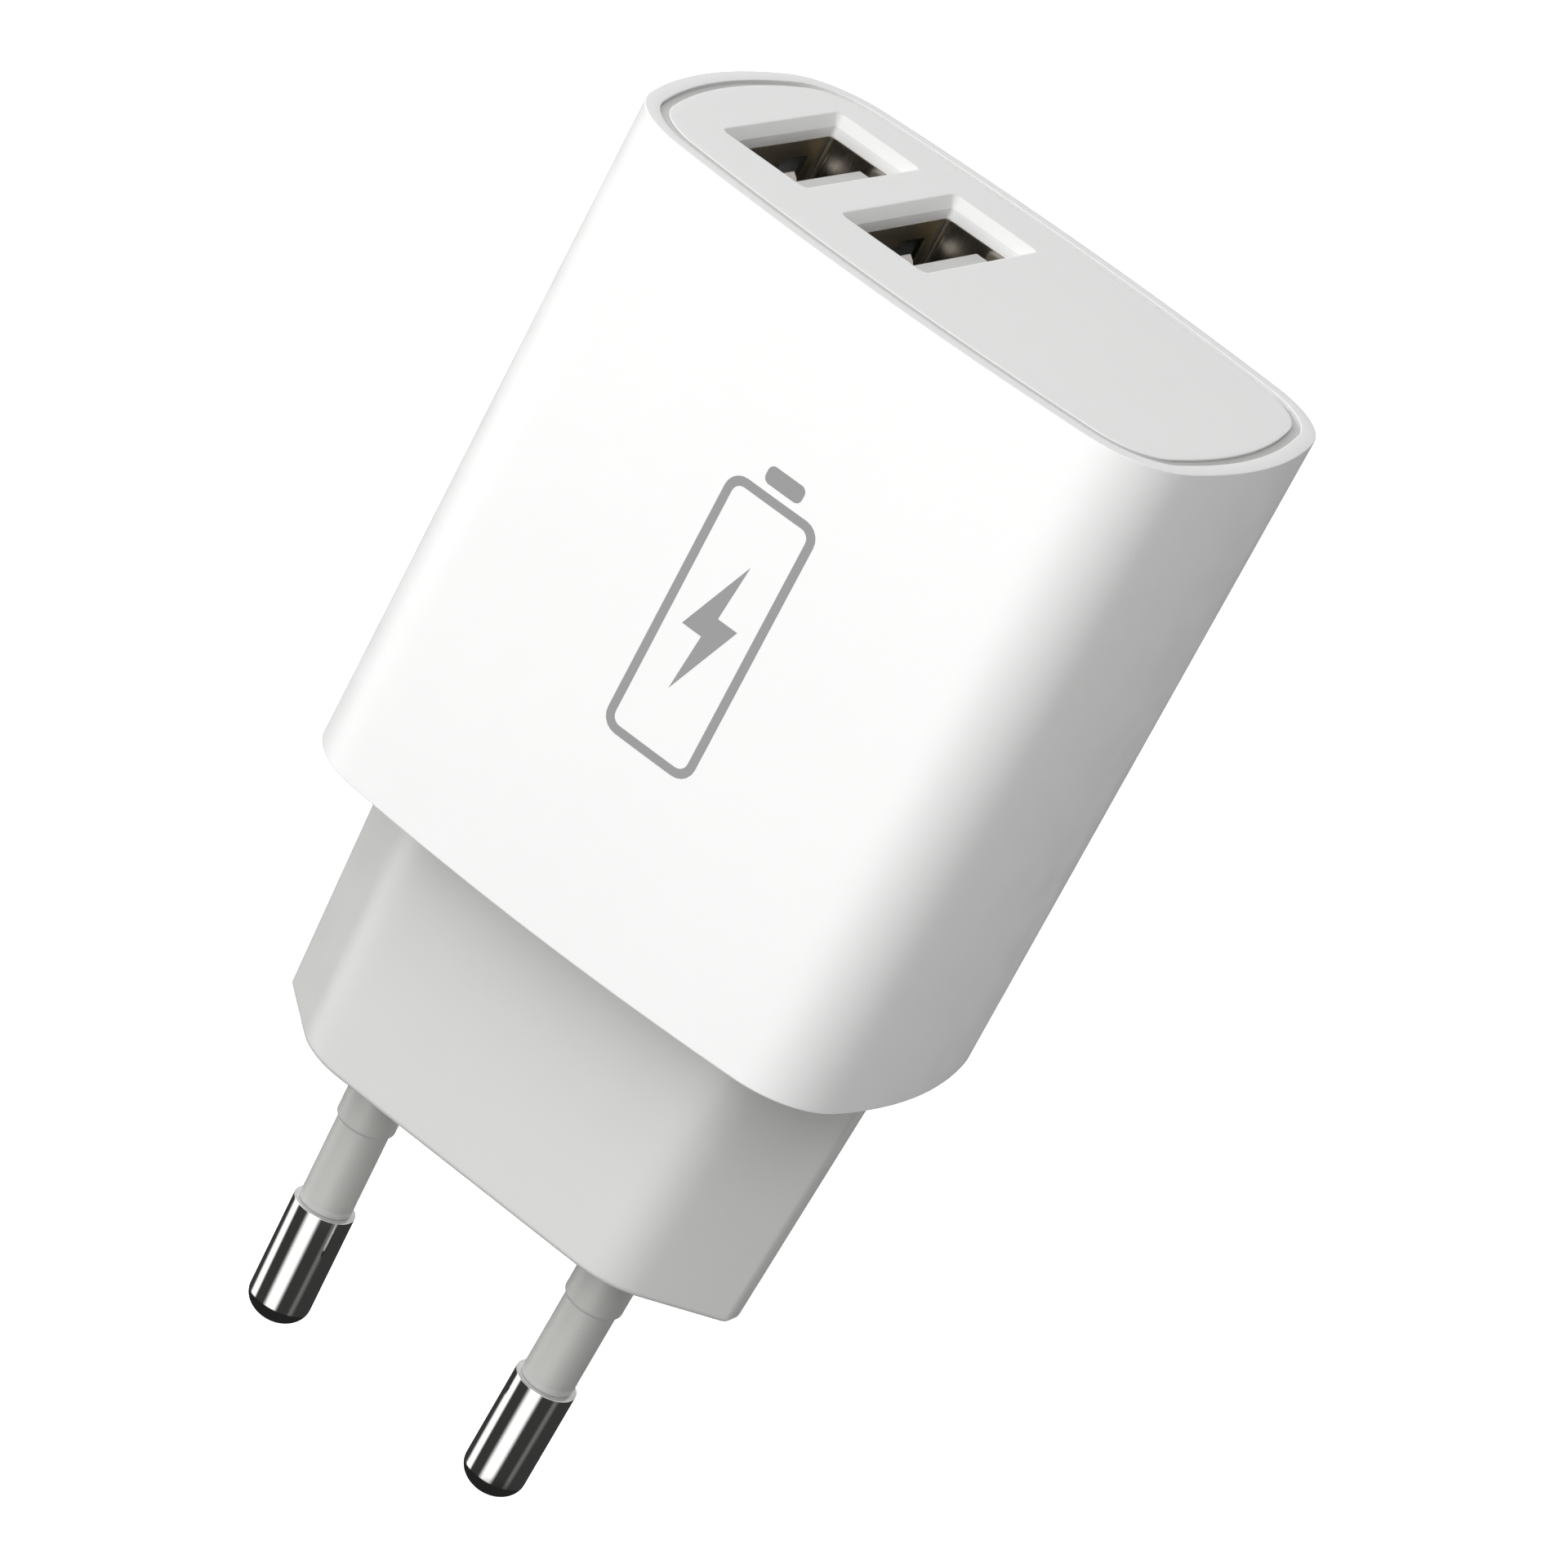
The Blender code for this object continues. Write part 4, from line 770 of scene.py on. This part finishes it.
def make_shell(letter, x):
    """A folded tube with four spring windows, a bent tab in each, and two legs."""
    outer_x = MOUTH_X + SHELL_WALL
    outer_y = MOUTH_Y + SHELL_WALL
    inside = box_outline(MOUTH_X, MOUTH_Y, 0.4)
    outside = box_outline(outer_x, outer_y, 0.7)
    rings = [
        level(inside, SHELL_BOTTOM),
        level(inside, SHELL_TOP),
        level(outside, SHELL_TOP),
        level(outside, SHELL_BOTTOM),
    ]
    bm = bmesh.new()
    skin(bm, rings, wrap=True)
    shell = new_object(f"port_shell_{letter}", bm)
    shell.location = (x * MM, PORT_Y * MM, 0)
    bpy.context.view_layer.update()
    bm = bmesh.new()
    for y in (-SPRING_Y, SPRING_Y):
        for side in (-1, 1):
            near, far = sorted((side * (MOUTH_X - 0.4), side * (outer_x + 1)))
            box(bm, (near, y - WINDOW_HALF, WINDOW_Z[0]), (far, y + WINDOW_HALF, WINDOW_Z[1]))
    shape(shell, "DIFFERENCE", bm)
    bm = bmesh.new()
    middle = MOUTH_X + SHELL_WALL / 2
    for side, reach in ((-1, 0.45), (1, 0.1)):
        crown = MOUTH_X - reach + 0.11
        path = soften(
            [
                (side * middle, WINDOW_Z[0] - 0.4, 0),
                (side * middle, WINDOW_Z[0] + 0.3, 1.5),
                (side * crown, TAB_CROWN_Z, 0.35),
                (side * (crown + 0.45), TAB_END_Z, 0),
            ],
            6,
            closed=False,
        )
        for y in (-SPRING_Y, SPRING_Y):
            strip(bm, path, TAB_THICKNESS, y - TAB_HALF, y + TAB_HALF)
    for side in (-1, 1):
        near, far = sorted((side * (MOUTH_Y + 0.04), side * (outer_y - 0.04)))
        box(bm, (-LEG_HALF, near, LEG_BOTTOM), (LEG_HALF, far, SHELL_BOTTOM + 0.4))
    shape(shell, "UNION", bm)
    show(shell, STEEL, "shell_steel", f"usb_shell_{letter}", edge=0.03)
    # Material 1 paints the highlight on the tabs' upward-facing ends
    shell.data.materials.append(TAB_END_HIGHLIGHT)
    for face in shell.data.polygons:
        if face.normal.z > 0.4 and abs(face.center.z / MM - TAB_END_Z) < 0.4:
            face.material_index = 1


def make_tongue(letter, x):
    bm = bmesh.new()
    half_x, half_y = BASE_HALF
    box(bm, (-half_x, -half_y, SHELL_BOTTOM), (half_x, half_y, BASE_TOP))
    insulator = new_object(f"port_tongue_{letter}", bm)
    insulator.location = (x * MM, PORT_Y * MM, 0)
    bpy.context.view_layer.update()
    bm = bmesh.new()
    box(bm, (TONGUE_X[0], -TONGUE_HALF_Y, BASE_TOP - 0.4), (TONGUE_X[1], TONGUE_HALF_Y, TONGUE_TOP))
    shape(insulator, "UNION", bm)
    bm = bmesh.new()
    floor = TONGUE_X[0] + CONTACT_GROOVE
    for y in CONTACT_Y:
        low_y, high_y = y - CONTACT_GROOVE_HALF, y + CONTACT_GROOVE_HALF
        box(bm, (TONGUE_X[0] - 2, low_y, BASE_TOP), (floor, high_y, TONGUE_TOP - 0.8))
        box(bm, (floor - 0.8, low_y, SHELL_BOTTOM - 2.5), (floor, high_y, BASE_TOP + 0.2))
    shape(insulator, "DIFFERENCE", bm)
    show(insulator, TONGUE_WHITE, "tongue_plastic", f"usb_insulator_{letter}", edge=0.05)


def make_leaves(letter, x):
    """Spring leaves: rooted in the tongue, crowned near the mouth, with the tip turned back in."""
    root = TONGUE_X[0] + CONTACT_GROOVE - 0.4
    path = soften(
        [
            (root, BASE_TOP + 0.5, 0),
            (root, BASE_TOP + 1.6, 2.0),
            (TONGUE_X[0] - 0.35, TONGUE_TOP - 2.5, 0.9),
            (TONGUE_X[0] + 0.2, TONGUE_TOP - 1.3, 0),
        ],
        7,
        closed=False,
    )
    for number, y in enumerate(CONTACT_Y, 1):
        bm = bmesh.new()
        strip(bm, path, LEAF_THICKNESS, y - LEAF_HALF, y + LEAF_HALF)
        leaf = new_object(f"spring_leaf_{letter}{number}", bm)
        leaf.location = (x * MM, PORT_Y * MM, 0)
        bpy.context.view_layer.update()
        name = f"contact_leaf_{letter}{number}"
        show(leaf, GOLD, "contact_gold", name, body=f"contacts_{letter}", edge=0.02)


# ---------------------------------------------------------------- parts that stay as the CAD made them


def finish_inside():
    black = (0.03, 0.03, 0.032)
    silver = (0.6, 0.6, 0.6)
    fuse_low, fuse_high = node_box("fuse_resistor")
    fuse_middle = (fuse_low.x + fuse_high.x) / 2
    rectifier_high = node_box("output_rectifier")[1].z
    board_green = laminate("board_green", (0.03, 0.20, 0.08), (0.06, 0.30, 0.12))
    chip_black = dipped("chip_black", black, 0.5, lumps=0.25, height=0.004)
    film_black = dipped("choke_sleeve", (0.05, 0.05, 0.06), 0.35)
    ferrite = moulded("ferrite_grey", (0.08, 0.08, 0.085), 0.6, grain=0.2, height=0.02, tone=0.7)
    plastic_black = moulded("black_plastic", black, 0.45, tone=0.8)
    wire = moulded("wire_red", (0.50, 0.05, 0.04), 0.4, grain=0.5, height=0.01, tone=0.85)
    fuse_bands = [
        (fuse_middle + place - 0.25, fuse_middle + place + 0.25, colour)
        for place, colour in ((-1.6, (0.4, 0.2, 0.05)), (-0.5, (0.02,) * 3), (0.6, (0.6, 0.5, 0.1)))
    ]
    fuse = banded("fuse_green", (0.08, 0.30, 0.17), "X", fuse_bands)
    rectifier_bands = [(rectifier_high - 3.4, rectifier_high - 2.6, silver)]
    rectifier = banded("rectifier_black", black, "Z", rectifier_bands)
    finishes = {
        "main_board": board_green,
        "port_board": board_green,
        "board_header": plastic_black,
        "transformer_bobbin": plastic_black,
        "transformer_core_upper": ferrite,
        "transformer_core_lower": ferrite,
        "transformer_winding": taped("yellow_tape", (0.75, 0.52, 0.07)),
        "filter_choke": film_black,
        "output_choke": film_black,
        "safety_capacitor": dipped("disc_blue", (0.04, 0.18, 0.45)),
        "fuse_resistor": fuse,
        "output_rectifier": rectifier,
        "mains_wire_left": wire,
        "mains_wire_right": wire,
    }
    for name in ("bridge_rectifier", "controller_chip", "snubber_diode", "optocoupler", "charge_chip"):
        finishes[name] = chip_black
    for word in ("upper", "lower"):
        name = f"input_capacitor_{word}"
        finishes[name] = film_can(f"{name}_film", name, (0.03, 0.03, 0.04), "Y", "X", silver)
    for word in ("front", "back"):
        name = f"output_capacitor_{word}"
        finishes[name] = film_can(f"{name}_film", name, (0.03, 0.13, 0.10), "Z", "X", (0.7, 0.72, 0.65))
    for letter in PORT_X:
        for number in range(1, 5):
            finishes[f"contact_tail_{letter}{number}"] = GOLD
    for name, material in finishes.items():
        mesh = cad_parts[name].data
        mesh.materials.clear()
        mesh.materials.append(material)


# ---------------------------------------------------------------- studio


def make_camera():
    """Looks down on the front and the right end, with the charger leaning over in the picture."""
    camera = bpy.data.objects.new("camera", bpy.data.cameras.new("camera"))
    camera.data.lens = 166.3
    camera.data.sensor_width = 36
    camera.data.clip_start = 0.01
    right = Vector((0.75717, 0.48495, 0.43762))
    up = Vector((-0.56514, 0.15035, 0.81118))
    back = right.cross(up)
    turn = Matrix((right, up, back)).transposed().to_4x4()
    camera.matrix_world = Matrix.Translation((0.14033, -0.35796, 0.19083)) @ turn
    bpy.context.scene.collection.objects.link(camera)
    bpy.context.scene.camera = camera


def make_light(name, azimuth, elevation, watts, size=0.8, distance=0.9):
    """A soft box that faces the charger. Azimuth 0 is in front of it, and 90 is at its right end."""
    light = bpy.data.lights.new(name, "AREA")
    light.size = size
    light.energy = watts
    a, e = math.radians(azimuth), math.radians(elevation)
    back = Vector((math.sin(a) * math.cos(e), -math.cos(a) * math.cos(e), math.sin(e)))
    lamp = bpy.data.objects.new(name, light)
    lamp.visible_glossy = False
    lamp.location = Vector((0, 0, 0.025)) + back * distance
    lamp.rotation_mode = "QUATERNION"
    lamp.rotation_quaternion = back.to_track_quat("Z", "Y")
    bpy.context.scene.collection.objects.link(lamp)
    return lamp


def make_world():
    """White behind the charger. Its pins mirror dim walls, upright soft boxes and a pale ceiling."""
    world = bpy.data.worlds.new("studio")
    world.use_nodes = True
    bpy.context.scene.world = world
    nodes = world.node_tree.nodes
    links = world.node_tree.links
    background = nodes["Background"]

    def maths(operation, *values):
        node = nodes.new("ShaderNodeMath")
        node.operation = operation
        for socket, value in zip(node.inputs, values):
            if isinstance(value, (int, float)):
                socket.default_value = value
            else:
                links.new(value, socket)
        return node.outputs[0]

    def ramp(value, *numbers):
        node = nodes.new("ShaderNodeMapRange")
        node.interpolation_type = "SMOOTHSTEP"
        links.new(value, node.inputs["Value"])
        for name, number in zip(("From Min", "From Max", "To Min", "To Max"), numbers):
            node.inputs[name].default_value = number
        return node.outputs["Result"]

    coordinates = nodes.new("ShaderNodeTexCoord")
    parts = nodes.new("ShaderNodeSeparateXYZ")
    links.new(coordinates.outputs["Generated"], parts.inputs["Vector"])
    x, y, z = parts.outputs
    azimuth = maths("MULTIPLY", maths("ARCTAN2", x, maths("MULTIPLY", y, -1.0)), 180 / math.pi)
    glow = 0.024
    # Each soft box: the azimuths where it starts, is full, starts to fade and ends, and its strength
    boxes = ((-103, -84, -69, -57, 1.45), (-24, -2, 19, 38, 1.45), (72, 84, 86, 102, 0.13))
    for start, full, fading, end, strength in boxes:
        rise = ramp(azimuth, start, full, 0.0, strength)
        fall = ramp(azimuth, fading, end, 1.0, 0.0)
        glow = maths("ADD", maths("MULTIPLY", rise, fall), glow)
    floor_cut = ramp(z, -0.60, -0.54, 0.0, 1.0)
    mirrored = maths("MULTIPLY", glow, floor_cut)
    mirrored = maths("ADD", mirrored, ramp(z, -0.30, 0.25, 0.02, 0.75))
    rays = nodes.new("ShaderNodeLightPath")
    seen = maths("MULTIPLY", mirrored, rays.outputs["Is Glossy Ray"])
    strength = maths("MAXIMUM", seen, rays.outputs["Is Camera Ray"])
    background.inputs["Color"].default_value = (1, 1, 1, 1)
    links.new(strength, background.inputs["Strength"])


def make_floor():
    """A white sweep under the pins. It only backs the picture, and is clear from below."""
    bm = bmesh.new()
    outline = round_outline(2500, 96)
    bm.faces.new([bm.verts.new(Vector((x, y, PIN_TIP_Z - 0.1)) * MM) for x, y in outline])
    floor = new_object("floor", bm)
    surface = Surface("floor_white", 0.9)
    surface.shader.inputs["Specular IOR Level"].default_value = 0.0
    surface.tint((0.9, 0.9, 0.9), (0.87, 0.87, 0.87), surface.noise((60,) * 3))
    surface.shader.inputs["Emission Color"].default_value = (1, 1, 1, 1)
    surface.shader.inputs["Emission Strength"].default_value = 1.0
    below = surface.nodes.new("ShaderNodeNewGeometry").outputs["Backfacing"]
    surface.links.new(surface.maths("SUBTRACT", 1.0, below), surface.shader.inputs["Alpha"])
    floor.data.materials.append(surface.material)
    floor.visible_diffuse = False
    floor.visible_glossy = False
    floor.visible_shadow = False


# Each light: azimuth and elevation in degrees, and watts
LIGHTS = {
    "key": (7, 45, 8.7),
    "low_front": (8, -40, 4.1),
    "left": (-90, 10, 4.0),
    "left_front": (-50, 0, 2.4),
    "right": (60, -10, 0.4),
    "rear_left": (-135, 10, 6.5),
    "rear_right": (155, -20, 6.3),
}

make_camera()
make_world()
make_floor()
for light_name, (light_azimuth, light_elevation, light_watts) in LIGHTS.items():
    make_light(light_name, light_azimuth, light_elevation, light_watts)
bpy.context.scene.view_settings.view_transform = "Standard"

make_housing()
make_panel()
make_nose()
make_pins()
make_print()
for port_letter, port_x in PORT_X.items():
    make_shell(port_letter, port_x)
    make_tongue(port_letter, port_x)
    make_leaves(port_letter, port_x)
finish_inside()
